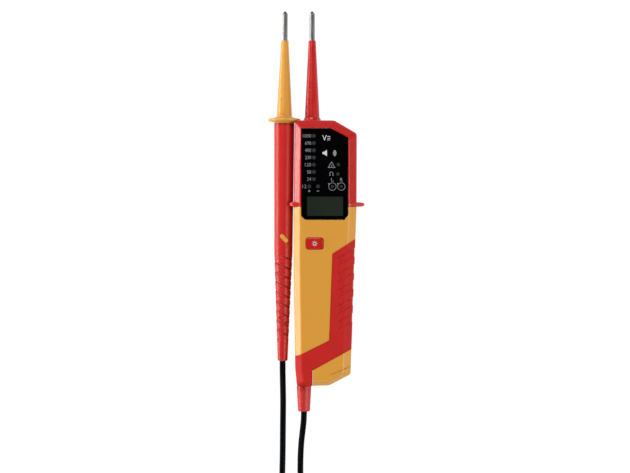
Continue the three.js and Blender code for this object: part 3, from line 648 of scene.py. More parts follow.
def jacket(name, colour):
    """Flexible cable jacket: satin black with extrusion lines and light scuffs."""
    finish = Finish(name, IOR=1.5, Specular_IOR_Level=0.03)
    scuff = finish.noise(220.0, 5.0, 0.65)
    lines = finish.noise(700.0, vector=finish.stretched((1.0, 0.06, 1.0)))
    return finish.skin(scuff, tones(colour, 0.7, 1.7), 0.28 + 0.12 * scuff,
                       lines + 0.3 * scuff, 0.00002)


def board_mask(name):
    """Green solder mask over faint copper tracks."""
    finish = Finish(name, IOR=1.5)
    tracks = finish.cells(320.0)
    return finish.skin(tracks, ((0.01, 0.10, 0.035, 1), (0.02, 0.20, 0.07, 1)),
                       0.35 + 0.2 * tracks, tracks, 0.00003)


def clear_plastic(name):
    """Clear moulded lens with slight haze."""
    finish = Finish(name, IOR=1.49, Transmission_Weight=0.7)
    haze = finish.noise(300.0, 3.0)
    return finish.skin(haze, ((0.80, 0.84, 0.86, 1), (0.92, 0.94, 0.95, 1)),
                       0.08 + 0.12 * haze, haze, 0.00001)


FINISHES = {}


def prepare_finishes():
    """Makes every finish once."""
    own = bpy.context.scene.tester_colours
    black = (0.012, 0.013, 0.015)
    FINISHES.update({
        "housing_yellow": moulded("yellow_moulding", own.yellow),
        "housing_red": moulded("red_moulding", own.red, 0.27),
        "boot_red": moulded("red_boot", own.red, 0.46),
        "barrel_red": barrel_moulding("red_barrel", own.red),
        "grip_red": soft_touch("soft_red", own.grip),
        "window_black": gloss_window("black_window", own.window),
        "lcd_grey": lcd_glass("lcd", own.lcd),
        "print": ink("print", own.print),
        "bright_print": ink("bright_print", own.bright_print),
        "dim_lamp": ink("dim_lamp", own.lamp, 0.35),
        "black_print": ink("black_print", black, 0.45),
        "steel": metal("steel", (0.62, 0.62, 0.63)),
        "rod_steel": metal("rod_steel", (0.42, 0.41, 0.40), 0.24, dark_from=TIP_END - 1.9),
        "brass": metal("brass", (0.72, 0.50, 0.18)),
        "tin": metal("tin", (0.50, 0.51, 0.53), 0.35),
        "cable_black": jacket("cable_jacket", own.cable),
        "component_black": moulded("black_moulding", black, 0.5),
        "board_green": board_mask("solder_mask"),
        "clear_lens": clear_plastic("clear_lens"),
    })


def dress_model_nodes():
    """Gives each carried-over node the finish of its slot."""
    slots = {entry["node"]: entry["material_slot"] for entry in frame["record"]["subparts"]}
    for name, obj in frame["nodes"].items():
        obj.data.materials.clear()
        obj.data.materials.append(FINISHES[slots[name]])


# ---- The display handle's form ----
FRONT_DEPTH = 4.2  # height of the slope round the display face
BACK_BEVEL = 3.0
BORE_RADIUS = 1.4  # bore of a screw
BOSS_RADIUS = 3.1
JOINT_GAP = 0.06  # half the gap between the two halves of the housing
LEFT_SLOPE, RIGHT_SLOPE, SHOULDER_SLOPE, TOP_SLOPE, BASE_SLOPE = 4.5, 5.4, 5.6, 5.75, 3.4
SLOPES = np.array([LEFT_SLOPE, BASE_SLOPE, BASE_SLOPE, RIGHT_SLOPE, RIGHT_SLOPE,
                   SHOULDER_SLOPE, TOP_SLOPE] + [LEFT_SLOPE] * 4)
CORNER = 1.6  # rounding of the outline's corners
SKIN = 1.1  # thickness of the soft grip
UNDERLAY = 1.4  # how deep the hard shell lies under it
NECK = 8.0  # how far the shells reach into the head

BODY_OUTLINE = np.array([
    (LEFT + 1.7, BOTTOM + 6.5),
    (BOOT_X - 4.9, BOTTOM),
    (12.0, BOTTOM + 0.6),
    (BASE_RIGHT, BOTTOM + 8.4),
    (RIGHT - 0.2, GUARD_LOW),
    (RIGHT, TOP - 9.2),
    (15.4, TOP),
    (LEFT + 0.8, TOP),
    (LEFT, GUARD_LOW),
    (LEFT, -38.0),
    (LEFT + 1.1, BOTTOM + 12.7),
])

COVER_EDGE = [(0.35, -FAR), (0.35, -115.45), (27.8, -100.35), (FAR, -100.35)]
COVER_OUTLINE = np.array([COVER_EDGE[0], (FAR, -FAR), *COVER_EDGE[:0:-1]])
GRIP_OUTLINE = np.array([
    (-FAR, -105.6), (-FAR, -FAR), *COVER_EDGE, (FAR, -24.2), (RIGHT - 1.2, -24.2),
    (14.0, -34.4), (11.8, -94.6), (-7.3, -104.2), (-11.3, -105.6),
])
SCREW_PLACES = [middle_of(f"housing_screw_{i}")[:2] for i in range(1, 5)]


def handle_sizes():
    """Sizes of the housing that the panel holds."""
    return bpy.context.scene.tester_handle


def barrel_radius(y):
    """Radius of the probe barrel: two straight tapers that meet at the waist."""
    along = BARREL_TOP - np.asarray(y, float)
    return np.interp(along, [0.0, BARREL_WAIST, BARREL_LENGTH], BARREL_RADII)


def probe_room(grow):
    """Room of the clipped probe handle, with its clearance."""
    stations = np.array([BARREL_LOW - grow, BARREL_TOP - BARREL_WAIST, BARREL_TOP])
    profile = np.column_stack([barrel_radius(stations) + CRADLE_GAP + grow, stations])
    profile = np.vstack([profile, [profile[-1, 0], BARREL_TOP + 1.0]])
    return lean(turned("room", profile, segments=72))


def body_form(inset=0.0):
    """Solid form of the display handle, or the same form further in.

    The outline is carried up a rounded profile. At each height the outline's edges move in
    by a common distance for the back bevel and by each edge's own width for the front slope.
    The slope is drawn one unit wide, so that all its corners are rounded alike.
    """
    low, high = inset, FRONT - inset
    unit = 5.0
    profile = eased([
        (0.0, BACK_BEVEL + 2.5, low),
        (0.0, BACK_BEVEL, low),
        (0.0, 0.0, low + BACK_BEVEL),
        (0.0, 0.0, high - FRONT_DEPTH),
        (unit, 0.0, high),
        (unit, 2.0, high),
    ], handle_sizes().edge, 6)
    outlines = [
        softened(moved_in(BODY_OUTLINE, inset + more + share / unit * SLOPES), CORNER)
        for share, more in profile[:, :2]
    ]
    return cut(stacked("form", outlines, profile[:, 2]), probe_room(inset))


def slab(low, high):
    """Everything between two distances along the handle."""
    return block((-FAR, low, -FAR), (FAR, high, FAR))


def height_band(low, high):
    """Everything between two heights."""
    return block((-FAR, -FAR, low), (FAR, FAR, high))


def window_outline(grow=0.0):
    """Outline of the display window."""
    left, low = WINDOW_LOW[:2]
    right, top = WINDOW_HIGH[:2]
    outline = np.array([
        (left + 2.8, low), (right - 2.6, low), (right, low + 3.2), (right, top - 6.6),
        (right - 12.6, top), (left, top), (left, low + 2.6),
    ])
    return moved_in(outline, -grow)


def window_cut():
    """Opening of the housing for the window, with a small chamfer at the rim."""
    seat = prism("seat", window_outline(0.12), MIDDLE + 5.0, FRONT + 5.0, corner=0.5)
    rings = [(0.12, FRONT - 0.3), (0.5, FRONT + 0.1), (0.5, FRONT + 1.0)]
    outlines = [softened(window_outline(grow), 0.5) for grow, _ in rings]
    return joined(seat, stacked("rim", outlines, [z for _, z in rings]))


def cable_hole():
    """Hole of the cable through the handle's lower end."""
    return bar(3.6, -FAR, BOTTOM + 12.0, BOOT_X, MIDDLE)


def housing_wall():
    """Wall of the yellow housing, thinner where the soft grip lies on it."""
    sizes = handle_sizes()
    skin = prism("skin", moved_in(GRIP_OUTLINE, -sizes.seam), -FAR, FAR)
    skin = cut(skin, body_form(UNDERLAY))
    wall = kept(cut(body_form(), skin), slab(-FAR, GUARD_LOW - 2 * sizes.seam))
    neck = kept(body_form(UNDERLAY), slab(GUARD_LOW - 1.0, GUARD_LOW + NECK))
    lid = prism("lid", moved_in(COVER_OUTLINE, -sizes.seam), -FAR, FAR)
    return cut(joined(wall, neck), body_form(sizes.wall), lid, window_cut(), cable_hole())


def screw_mouth(x, y):
    """Hole for a screw head, with a chamfered mouth."""
    rings = [(2.9, -1.0), (2.9, 0.0), (2.5, 0.4), (2.5, 3.0)]
    return stacked("mouth", [circle(r, 40, (x, y)) for r, _ in rings], [z for _, z in rings])


def with_bosses(shell, low, high, bore_top, countersunk=False):
    """Half a housing with a boss and a bore for each of its screws."""
    for x, y in SCREW_PLACES:
        boss = kept(post(BOSS_RADIUS, low, high, x, y), body_form(UNDERLAY))
        bores = [post(BORE_RADIUS, -FAR, bore_top, x, y)]
        if countersunk:
            bores.append(screw_mouth(x, y))
        shell = cut(joined(shell, boss), *bores)
    return shell


def make_front_shell():
    """Front half of the yellow housing with the cover screw's boss and the key's opening."""
    shell = with_bosses(kept(housing_wall(), height_band(MIDDLE + JOINT_GAP, FAR)), MIDDLE + 0.15,
                        FRONT - 1.9, MIDDLE + 6.0)
    low = float(SCREW_HIGH[1]) - 5.0
    boss = kept(block((SCREW_X - 2.1, low, SCREW_Z - 1.5),
                      (SCREW_X + 2.1, low + 8.0, FRONT - 2.0)), body_form(UNDERLAY))
    shell = cut(joined(shell, boss), bar(BORE_RADIUS, -FAR, low + 6.5, SCREW_X, SCREW_Z))
    opening = prism("opening", key_outline(0.2), FRONT - 3.4, FAR, corner=2.3)
    return cut(shell, opening)


def make_rear_shell():
    """Back half of the yellow housing with its countersunk screw holes."""
    return with_bosses(kept(housing_wall(), height_band(-FAR, MIDDLE - JOINT_GAP)), 1.9,
                       MIDDLE - 0.15, FAR, countersunk=True)


def guard():
    """Hand guard: a plate across the handle with rounded rims, thinner towards its ends.

    It is drawn as (x, -z), raised along Z, turned so that it rises along Y, and then drawn
    in towards its middle by a share that depends on x.
    """
    left, right = HOOD_LOW[0], HOOD_HIGH[0]
    inner_left, inner_right = LEFT + 4.4, RIGHT - 4.4
    section = np.array([
        (left, -4.0), (left, -22.0), (inner_left, -FRONT), (inner_right, -FRONT),
        (right - 1.2, -MIDDLE - 3.6), (right, -MIDDLE), (right - 1.2, -MIDDLE + 3.6),
        (inner_right, 0.0), (inner_left, 0.0),
    ])
    plate = prism("guard", section, GUARD_LOW, -GUARD_LOW, edge=1.1, corner=3.0)
    x, y, z = points_of(plate.data).T
    share = np.interp(x, [left, LEFT, RIGHT, right], [0.82, 1.0, 1.0, 0.68])
    return set_points(plate, np.column_stack([x, z * share, -y]))


def disc_room():
    """Notch of the head for the probe handle's disc, open to the left."""
    middle = middle_of("probe_sleeve")[0]
    half = DISC_RADIUS + 0.45
    return joined(bar(half, NOTCH_LOW, FAR, middle, MIDDLE, 64),
                  block((-FAR, NOTCH_LOW, MIDDLE - half), (middle, FAR, MIDDLE + half)))


def make_head_hood():
    """Red head: the upper form with the guard, the collar of the tip and the cradle."""
    sizes = handle_sizes()
    hood = kept(joined(body_form(), guard()), slab(GUARD_LOW, FAR))
    neck_room = kept(body_form(SKIN), slab(-FAR, GUARD_LOW + NECK + 0.3))
    collar = turned("collar", eased([
        (7.4, TOP - 3.0), (7.0, TOP - 0.4), (6.1, TOP + 0.6), (5.6, TOP + 2.0),
        (5.3, TOP + 2.5),
    ], 0.8), 0.0, MIDDLE)
    channel = barrel_radius(0.0) + CRADLE_GAP
    middle = -TIP_PITCH - TIP_END * math.tan(PROBE_LEAN)
    hood = joined(cut(hood, body_form(sizes.wall), neck_room), collar)
    return cut(
        hood,
        bar(SLEEVE_SEAT, TOP - 6.0, FAR, 0.0, MIDDLE),
        bar(channel, -FAR, FAR, middle, MIDDLE, 72),
        block((-FAR, -FAR, MIDDLE - channel), (middle, FAR, MIDDLE + channel)),
        disc_room(),
        bar(TORCH_RADIUS, TOP - 9.0, FAR, TORCH_X, MIDDLE, 32),
        window_cut(),
    )


class TESTER_OT_housing(Operator):
    """Builds the red head and the two halves of the yellow housing"""

    bl_idname = "tester.housing"
    bl_label = "Housing"

    def execute(self, context):
        for build, node, finish in (
            (make_head_hood, "head_hood", "housing_red"),
            (make_front_shell, "front_shell", "housing_yellow"),
            (make_rear_shell, "rear_shell", "housing_yellow"),
        ):
            stand_for(node, build(), "display_handle", finish)
        return {"FINISHED"}


# ---- Soft grip ----
SCOOP_FIRST = -40.7  # middle of the first scoop at its left end
SCOOP_LEFT = 16.8
SCOOP_HALF = 3.1
SCOOP_SLOPE = math.tan(math.radians(30.0))
CLEAR = 0.35  # how far the cutter stays outside the form between the scoops


def ease_step(value, low, high):
    """Smooth step from nought at low to one at high."""
    share = np.clip((value - low) / (high - low), 0.0, 1.0)
    return share * share * (3.0 - 2.0 * share)


def scooped_form():
    """Solid a little larger than the handle, pressed in by the finger scoops.

    A section runs over the front face, down the right slope and side and under the back.
    Each section point moves along its normal: outwards by the clearance, and inwards by the
    scoop depth where a slanted band, smooth at its rims, crosses the point.
    """
    sizes = handle_sizes()
    y = np.concatenate([[BOTTOM - 20.0], np.arange(-100.0, -19.0, 0.45), [20.0]])
    right = np.interp(y, [BODY_OUTLINE[3, 1], BODY_OUTLINE[4, 1]],
                      [BODY_OUTLINE[3, 0], BODY_OUTLINE[4, 0]])
    corners = np.array([
        (-16.0, FRONT), (-RIGHT_SLOPE, FRONT), (0.0, FRONT - FRONT_DEPTH),
        (0.0, BACK_BEVEL), (-BACK_BEVEL, 0.0), (-16.0, 0.0),
    ])
    path = eased(corners, 1.4, 7)
    step = np.linalg.norm(np.diff(path, axis=0), axis=1)
    along = np.concatenate([[0.0], np.cumsum(step)])
    even = np.linspace(0.0, along[-1], 110)
    path = np.column_stack([np.interp(even, along, path[:, i]) for i in (0, 1)])
    tangent = np.gradient(path, axis=0)
    tangent /= np.linalg.norm(tangent, axis=1, keepdims=True)
    normal = np.column_stack([-tangent[:, 1], tangent[:, 0]])
    x = right[:, None] + path[None, :, 0]
    z = np.repeat(path[None, :, 1], len(y), axis=0)
    reach = np.maximum(np.minimum(x, right[:, None] - 0.6) - SCOOP_LEFT, 0.0)
    middle = y[:, None] - SCOOP_SLOPE * reach
    index = np.clip(np.round((SCOOP_FIRST - middle) / sizes.scoop_pitch), 0,
                    sizes.scoop_count - 1)
    off = np.abs(middle - (SCOOP_FIRST - index * sizes.scoop_pitch))
    mask = 1.0 - ease_step(off, SCOOP_HALF - 0.6, SCOOP_HALF + 0.4)
    mask = mask * ease_step(x, SCOOP_LEFT - 1.0, SCOOP_LEFT + 1.8) * ease_step(z, 3.5, 7.0)
    shift = CLEAR - (CLEAR + sizes.scoop) * mask
    x = x + normal[None, :, 0] * shift
    z = z + normal[None, :, 1] * shift
    far_left = -60.0
    rings = np.stack([x, np.repeat(y[:, None], x.shape[1], axis=1), z], axis=-1)
    ends = np.zeros((len(y), 2, 3))
    ends[:, :, 0] = far_left
    ends[:, :, 1] = y[:, None]
    ends[:, 0, 2] = -CLEAR
    ends[:, 1, 2] = FRONT + CLEAR
    rings = np.concatenate([rings, ends], axis=1)
    return loft("scooped", rings)


def make_grip():
    """Soft red sleeve: a skin over the housing, inside the grip's region."""
    sizes = handle_sizes()
    region = prism("region", moved_in(GRIP_OUTLINE, sizes.seam), -FAR, FAR)
    sleeve = kept(body_form(), region, scooped_form())
    x, y = SCREW_PLACES[3]
    return cut(sleeve, body_form(SKIN), cable_hole(), screw_mouth(x, y))


class TESTER_OT_grip(Operator):
    """Builds the soft grip with its finger scoops"""

    bl_idname = "tester.grip"
    bl_label = "Soft grip"

    def execute(self, context):
        stand_for("grip_sleeve", make_grip(), "display_handle", "grip_red")
        return {"FINISHED"}


# ---- Battery cover and cable boot ----
def make_cover():
    """Cup over the lower right corner with a fine line along its slanted edge.

    A block inside it carries the screw, whose head sits in a wider bore.
    """
    sizes = handle_sizes()
    region = prism("region", moved_in(COVER_OUTLINE, sizes.seam), -FAR, FAR)
    hollow = kept(body_form(sizes.wall), block((2.5, -FAR, -FAR), (FAR, FAR, FAR)))
    cover = cut(kept(body_form(), region), hollow)
    inner = kept(block((2.1, -FAR, MIDDLE - 8.0), (23.0, -106.5, MIDDLE + 8.0)),
                 body_form(sizes.wall - 0.5))
    line = np.array([(13.0, -118.1), (13.2, -118.5), (30.0, -111.6), (30.0, -111.1)])
    groove = cut(prism("line", line, MIDDLE, FAR), body_form(0.35))
    return cut(joined(cover, inner), bar(BORE_RADIUS, -FAR, FAR, SCREW_X, SCREW_Z),
               bar(2.4, -FAR, float(SCREW_LOW[1]) + 1.9, SCREW_X, SCREW_Z), groove)


def make_boot():
    """Tapered sleeve round the cable with rounded rims."""
    low = float(span("cable_boot")[0][1])
    floor = BOTTOM - 0.12
    outside = eased([
        (2.35, low), (3.95, low), (4.25, low + 0.9), (5.15, floor - 0.5), (5.0, floor),
        (3.3, floor), (3.3, BOTTOM + 9.0), (2.35, BOTTOM + 9.0),
    ], 0.7)
    solid = turned("boot", outside, BOOT_X, MIDDLE, 64)
    return cut(solid, bar(2.3, -FAR, FAR, BOOT_X, MIDDLE))


class TESTER_OT_lower_end(Operator):
    """Builds the battery cover and the boot of the cable"""

    bl_idname = "tester.lower_end"
    bl_label = "Cover and boot"

    def execute(self, context):
        stand_for("battery_cover", make_cover(), "battery_cover", "housing_yellow")
        stand_for("cable_boot", make_boot(), "display_handle", "boot_red")
        return {"FINISHED"}


# ---- Display window and its marks ----
MARK_LOW = FRONT - 0.01
MARK_HIGH = FRONT + 0.03
SCALE = ("1000", "690", "400", "230", "120", "50", "24")
SCALE_TOP = 47.5
SCALE_PITCH = 5.01
LAMP_X = 1.2
SIGN_Y = 9.2
SIGNS = (-2.0, 4.0)
PHASES = ((14.1, "L"), (20.3, "R"))
PHASE_Y = 12.3
SCALE_LAST = SCALE_TOP - len(SCALE) * SCALE_PITCH
DIGIT_HEIGHT = 2.4
DIGIT_WIDTH = 1.42


def mark(outline):
    """Thin printed shape on the window."""
    return prism("mark", outline, MARK_LOW, MARK_HIGH)


def bar_mark(x, y, width, height):
    """Thin printed bar about a point."""
    half = np.array([width, height]) / 2
    return mark(rectangle([x, y] - half, [x, y] + half))


def open_mark(outline, inside):
    """Thin printed frame between two outlines."""
    return cut(mark(outline), prism("hole", inside, FRONT - 1.0, FRONT + 1.0))


def ring_mark(x, y, radius, line):
    """Thin printed ring."""
    return open_mark(circle(radius, 32, (x, y)), circle(radius - line, 32, (x, y)))


def lettering(text, height, x, y, width, align=0.5):
    """Printed digits or a sign, fitted into a width and a height."""
    curve = bpy.data.curves.new("letters", "FONT")
    curve.body = text
    curve.extrude = 0.5
    curve.offset = -0.004
    curve.resolution_u = 3
    source = bpy.data.objects.new("letters", curve)
    bpy.context.scene.collection.objects.link(source)
    bpy.context.view_layer.update()
    graph = bpy.context.evaluated_depsgraph_get()
    mesh = bpy.data.meshes.new_from_object(source.evaluated_get(graph))
    points = points_of(mesh)
    faces = [list(polygon.vertices) for polygon in mesh.polygons]
    bpy.data.objects.remove(source)
    bpy.data.meshes.remove(mesh)
    points = (points - points.min(axis=0)) / np.ptp(points, axis=0)
    points = points * [width, height, MARK_HIGH - MARK_LOW]
    return make_object("letters", points + [x - align * width, y - height / 2, MARK_LOW], faces)


def printed_marks():
    """Every light mark of the window: the scale, its signs and the symbols."""
    parts = [
        lettering(text, DIGIT_HEIGHT, -0.7, SCALE_TOP - i * SCALE_PITCH,
                  DIGIT_WIDTH * len(text), 1.0)
        for i, text in enumerate(SCALE)
    ]
    triangle = np.array([(10.9, 25.3), (16.1, 25.3), (13.5, 29.8)])
    parts += [
        lettering("12", DIGIT_HEIGHT, -4.0, SCALE_LAST, 2.7, 1.0),
        joined(bar_mark(SIGNS[0], SIGN_Y, 1.6, 0.45), bar_mark(SIGNS[0], SIGN_Y, 0.45, 1.6)),
        bar_mark(SIGNS[1], SIGN_Y, 1.7, 0.5),
        mark(circle(1.0) * [1.2, 2.1] + [15.7, 35.5]),
        open_mark(triangle, moved_in(triangle, 0.4)),
        bar_mark(13.5, 26.6, 0.4, 1.4),
        ohm_mark(13.4, 21.2),
    ]
    arrow = np.array([(-0.7, -0.5), (0.5, 0.0), (-0.7, 0.6)])
    for x, letter in PHASES:
        head = mark(arrow + [x - 2.2, PHASE_Y + 1.9])
        parts.append(joined(ring_mark(x, PHASE_Y, 2.75, 0.3), head))
        parts.append(lettering(letter, DIGIT_HEIGHT, x, 17.1, 1.7))
    return merged("printed_marks", parts)


def ohm_mark(x, y):
    """Resistance sign: an open ring on two feet."""
    angle = np.radians(np.linspace(-52.0, 232.0, 25))
    ring = np.column_stack([np.cos(angle), np.sin(angle)])
    band = np.vstack([1.35 * ring, 0.97 * ring[::-1]]) + [x, y]
    feet = [bar_mark(x + aside, y - 1.2, 0.95, 0.34) for aside in (-1.05, 1.05)]
    return joined(mark(band), *feet)


def bright_signs():
    """The brighter marks: the volt sign and the sounder."""
    speaker = np.array([(7.2, 34.8), (8.2, 34.8), (10.3, 33.4), (10.3, 37.7), (8.2, 36.3),
                        (7.2, 36.3)])
    return merged("bright_signs", [
        lettering("V", 3.8, 8.6, 46.1, 3.1), lettering("~", 0.9, 11.6, 47.0, 2.0),
        bar_mark(11.6, 45.6, 2.0, 0.3), bar_mark(11.6, 44.7, 2.0, 0.3), mark(speaker),
    ])


def lamp_marks():
    """Unlit lamps beside the scale and the symbols."""
    places = [(LAMP_X, SCALE_TOP - i * SCALE_PITCH, 1.35) for i in range(len(SCALE))]
    places += [(x, SCALE_LAST, 1.35) for x in SIGNS]
    places += [(18.2, 27.6, 1.2), (17.9, 21.0, 1.2)]
    places += [(x, PHASE_Y, 1.1) for x, _ in PHASES]
    return merged("scale_lamps", [mark(circle(r, centre=(x, y))) for x, y, r in places])


class TESTER_OT_display(Operator):
    """Builds the black window, the LCD's face, the scale and the symbols"""

    bl_idname = "tester.display"
    bl_label = "Display"

    def execute(self, context):
        window = prism("window", window_outline(), WINDOW_LOW[2], FRONT, 0.22, 0.5)
        stand_for("display_window", window, "display_handle", "window_black")
        face = rectangle(LCD_LOW[:2], LCD_HIGH[:2])
        lcd = prism("lcd_face", face, FRONT - 0.02, FRONT + 0.02, corner=0.5)
        place(lcd, "display_handle", "lcd_grey")
        for build, finish in ((printed_marks, "print"), (bright_signs, "bright_print"),
                              (lamp_marks, "dim_lamp")):
            place(build(), "display_handle", finish, weighted=False)
        return {"FINISHED"}


# ---- Lamp key ----
KEY_FLANGE = 1.0
KEY_SKIRT = 0.6


def key_outline(grow=0.0):
    """Outline of the lamp key's cap, without its hidden flange."""
    low = KEY_LOW[:2] + KEY_FLANGE
    high = KEY_HIGH[:2] - KEY_FLANGE
    return rectangle(low - grow, high + grow)


class TESTER_OT_lamp_key(Operator):
    """Builds the torch lamp's key with its lamp symbol"""

    bl_idname = "tester.lamp_key"
    bl_label = "Lamp key"

    def execute(self, context):
        top = float(KEY_HIGH[2]) - 0.05
        low = float(KEY_LOW[2])
        cap = prism("cap", key_outline(), low + KEY_SKIRT / 2, top, edge=0.9, corner=2.4)
        flange = prism("flange", key_outline(KEY_FLANGE), low, low + KEY_SKIRT, corner=1.0)
        stand_for("lamp_key", joined(cap, flange), "lamp_key", "housing_red")
        centre = (KEY_LOW[:2] + KEY_HIGH[:2]) / 2
        ray = rectangle((1.75, -0.07), (2.3, 0.07))
        rays = [mark(spun(ray, angle) + centre) for angle in around(8)]
        symbol = merged("lamp_symbol", rays + [ring_mark(*centre, 1.3, 0.55)])
        dot = mark(circle(0.62, centre=centre))
        dot.name = "lamp_symbol_centre"
        for piece, finish in ((symbol, "bright_print"), (dot, "black_print")):
            shift_up(piece, top - 0.01 - MARK_LOW)
            place(piece, "lamp_key", finish, weighted=False)
        return {"FINISHED"}


# ---- Tips ----
SLEEVE_END_RADIUS = 2.6
ROD_RADIUS = 2.0


def sleeve_taper(root_radius, low):
    """Straight taper from a root radius to the end of a tip's sleeve, with rounded rims."""
    end = float(SLEEVE_HIGH[1])
    return eased([
        (root_radius, low), (root_radius - 0.1, low + 3.0), (SLEEVE_END_RADIUS + 0.1, end - 3.0),
        (SLEEVE_END_RADIUS, end - 0.2), (SLEEVE_END_RADIUS - 0.3, end),
    ], 1.2)


def bored(sleeve, gate_y, gate_x, floor_radius):
    """Sleeve with the rod's bore and a shallow oval gate mark pressed into its front."""
    oval = prism("gate", circle(0.45, 20) * [1.0, 2.4] + [gate_x, gate_y], 4.0, 9.0)
    return cut(sleeve, bar(ROD_RADIUS + 0.06, -FAR, FAR), cut(oval, bar(floor_radius, 60, 90)))


def contact_rod(low, z):
    """Steel rod with a conical, slightly blunt point."""
    end = TIP_END
    profile = [(ROD_RADIUS, low), (ROD_RADIUS, end - 2.1), (ROD_RADIUS - 0.1, end - 1.9),
               (0.6, end - 0.3), (0.3, end - 0.06), (0.0, end)]
    return turned("rod", profile, 0.0, z)


def make_display_sleeve():
    """Red sleeve: a plain root inside the head's collar and the tapered tip sleeve."""
    low = float(SLEEVE_LOW[1])
    profile = np.vstack([[(4.9, low), (4.9, TOP + 1.0)], sleeve_taper(5.15, TOP + 2.6)])
    sleeve = turned("sleeve", profile, segments=72)
    return shift_up(bored(sleeve, 73.0, -2.2, 4.35), MIDDLE)


def make_probe_sleeve():
    """Yellow sleeve: spigot, collar, lens-shaped finger guard and the tapered tip sleeve."""
    disc = PROBE_GUARD
    spigot = float(barrel_radius(BARREL_TOP - 11.0)) - 1.9
    collar = float(barrel_radius(BARREL_TOP))
    rim = DISC_RADIUS
    lower = eased([
        (spigot, BARREL_TOP - 11.0), (spigot, BARREL_TOP + 0.15), (collar, BARREL_TOP + 0.15),
        (collar, disc - 1.7), (rim - 0.5, disc - 0.9), (rim, disc - 0.45), (rim, disc + 0.5),
        (rim - 0.5, disc + 0.95), (6.3, disc + 1.9), (5.2, disc + 3.0),
    ], 0.8)
    upper = sleeve_taper(5.3, disc + 3.4)
    sleeve = turned("sleeve", np.vstack([lower, upper]), segments=72)
    return lean(bored(sleeve, 73.5, -2.0, 4.4))


class TESTER_OT_tips(Operator):
    """Builds the contact rods and the insulating sleeves of both handles"""

    bl_idname = "tester.tips"
    bl_label = "Tips"

    def execute(self, context):
        rod = contact_rod(float(ROD_LOW[1]), MIDDLE)
        stand_for("display_tip_rod", rod, "display_handle", "rod_steel")
        stand_for("display_tip_sleeve", make_display_sleeve(), "display_handle", "housing_red")
        stand_for("probe_tip_rod", lean(contact_rod(18.0, 0.0)), "probe_handle", "rod_steel")
        stand_for("probe_sleeve", make_probe_sleeve(), "probe_handle", "housing_yellow")
        return {"FINISHED"}


# ---- Probe handle ----
GROOVE_TOP = -36.0
GROOVE_END = -95.5
GROOVE_HALF = 0.5
LOAD_Y = PROBE_GUARD - 82.9
LOAD_ASIDE = 0.6
LOAD_LENGTH = 7.2
LOAD_WIDTH = 3.0
LOAD_TURN = math.radians(-47.0)
LOAD_PROUD = 0.6
PIN_HOLES = ((-2.3, -79.2), (2.1, -82.4))
PIN_RADIUS = 0.65


def spiral(y, angle):
    """Groove and step of the spiral grip at a height and an angle.

    The distance to the nearest turn of a helix with several starts gives the groove, a
    bell curve that is one on the turn, and the step, which rises from -1/2 to 1/2 between
    two turns. Both fade out at the ends of the grip.
    """
    sizes = bpy.context.scene.tester_probe
    phase = (angle / (2 * np.pi) + y / sizes.groove_lead) * sizes.groove_starts
    step = phase - np.round(phase)
    off = step * sizes.groove_lead / sizes.groove_starts
    fade = ease_step(y, GROOVE_END - 1.0, GROOVE_END + 1.5)
    fade = fade * (1.0 - ease_step(y, GROOVE_TOP - 1.5, GROOVE_TOP + 1.0))
    return np.exp(-(off / GROOVE_HALF) ** 2) * fade, step * fade


def mark_grooves(obj):
    """Stores on each point how deep in a groove it lies, for the finish's painted groove shade
    and dullness.
    """
    x, y, z = points_of(obj.data).T
    groove = spiral(y, np.arctan2(-z, x) % (2 * np.pi))[0]
    layer = obj.data.attributes.new(GROOVE_LAYER, "FLOAT", "POINT")
    layer.data.foreach_set("value", groove)
    return obj


def barrel_surface():
    """Outside of the probe barrel.

    The radius at height y and angle t is the two-taper radius, less the groove depth times
    the groove and a share of the step, less small roundings at the two ends.
    """
    fine = np.arange(GROOVE_END - 3.0, GROOVE_TOP + 3.0, 0.22)
    y = np.concatenate([BARREL_LOW + np.array([0.0, 0.1, 0.3, 0.6, 1.0, 4.0, 8.0]), fine,
                        np.linspace(GROOVE_TOP + 4.0, BARREL_TOP - 1.0, 14),
                        BARREL_TOP - np.array([0.5, 0.25, 0.08, 0.0])])
    angle = around(104)
    groove, step = spiral(y[:, None], angle[None, :])
    ends = np.interp(y - BARREL_LOW, [0.0, 0.1, 0.3, 0.6, 1.0], [0.45, 0.28, 0.12, 0.03, 0.0])
    ends = ends + np.interp(BARREL_TOP - y, [0.0, 0.08, 0.25, 0.5], [0.25, 0.12, 0.04, 0.0])
    depth = bpy.context.scene.tester_probe.groove_depth * (groove + 0.4 * step)
    radius = (barrel_radius(y) - ends)[:, None] - depth
    rings = np.stack([radius * np.cos(angle), np.repeat(y[:, None], len(angle), axis=1),
                      -radius * np.sin(angle)], axis=-1)
    return loft("barrel", rings)


def pill_outline(grow=0.0):
    """Round-ended outline of the load key, turned on the barrel."""
    radius = LOAD_WIDTH / 2 + grow
    half = (LOAD_LENGTH - LOAD_WIDTH) / 2
    angle = np.linspace(-np.pi / 2, np.pi / 2, 13)
    end = np.column_stack([half + radius * np.cos(angle), radius * np.sin(angle)])
    return spun(np.vstack([end, -end]), LOAD_TURN) + [LOAD_ASIDE, LOAD_Y]


def make_barrel():
    """Barrel with its bore, the slot of the load key and two small pin holes."""
    stations = np.linspace(BARREL_LOW + 10.0, BARREL_TOP + 1.0, 12)
    bore = np.column_stack([np.maximum(barrel_radius(stations) - 1.6, 2.4), stations])
    bore = np.vstack([[(2.3, BARREL_LOW - 1.0), (2.3, BARREL_LOW + 9.0)], bore])
    slot = prism("slot", pill_outline(0.15), 0.0, FAR)
    holes = [post(PIN_RADIUS, 3.0, FAR, x, y, 20) for x, y in PIN_HOLES]
    return cut(barrel_surface(), turned("bore", bore), slot, *holes)


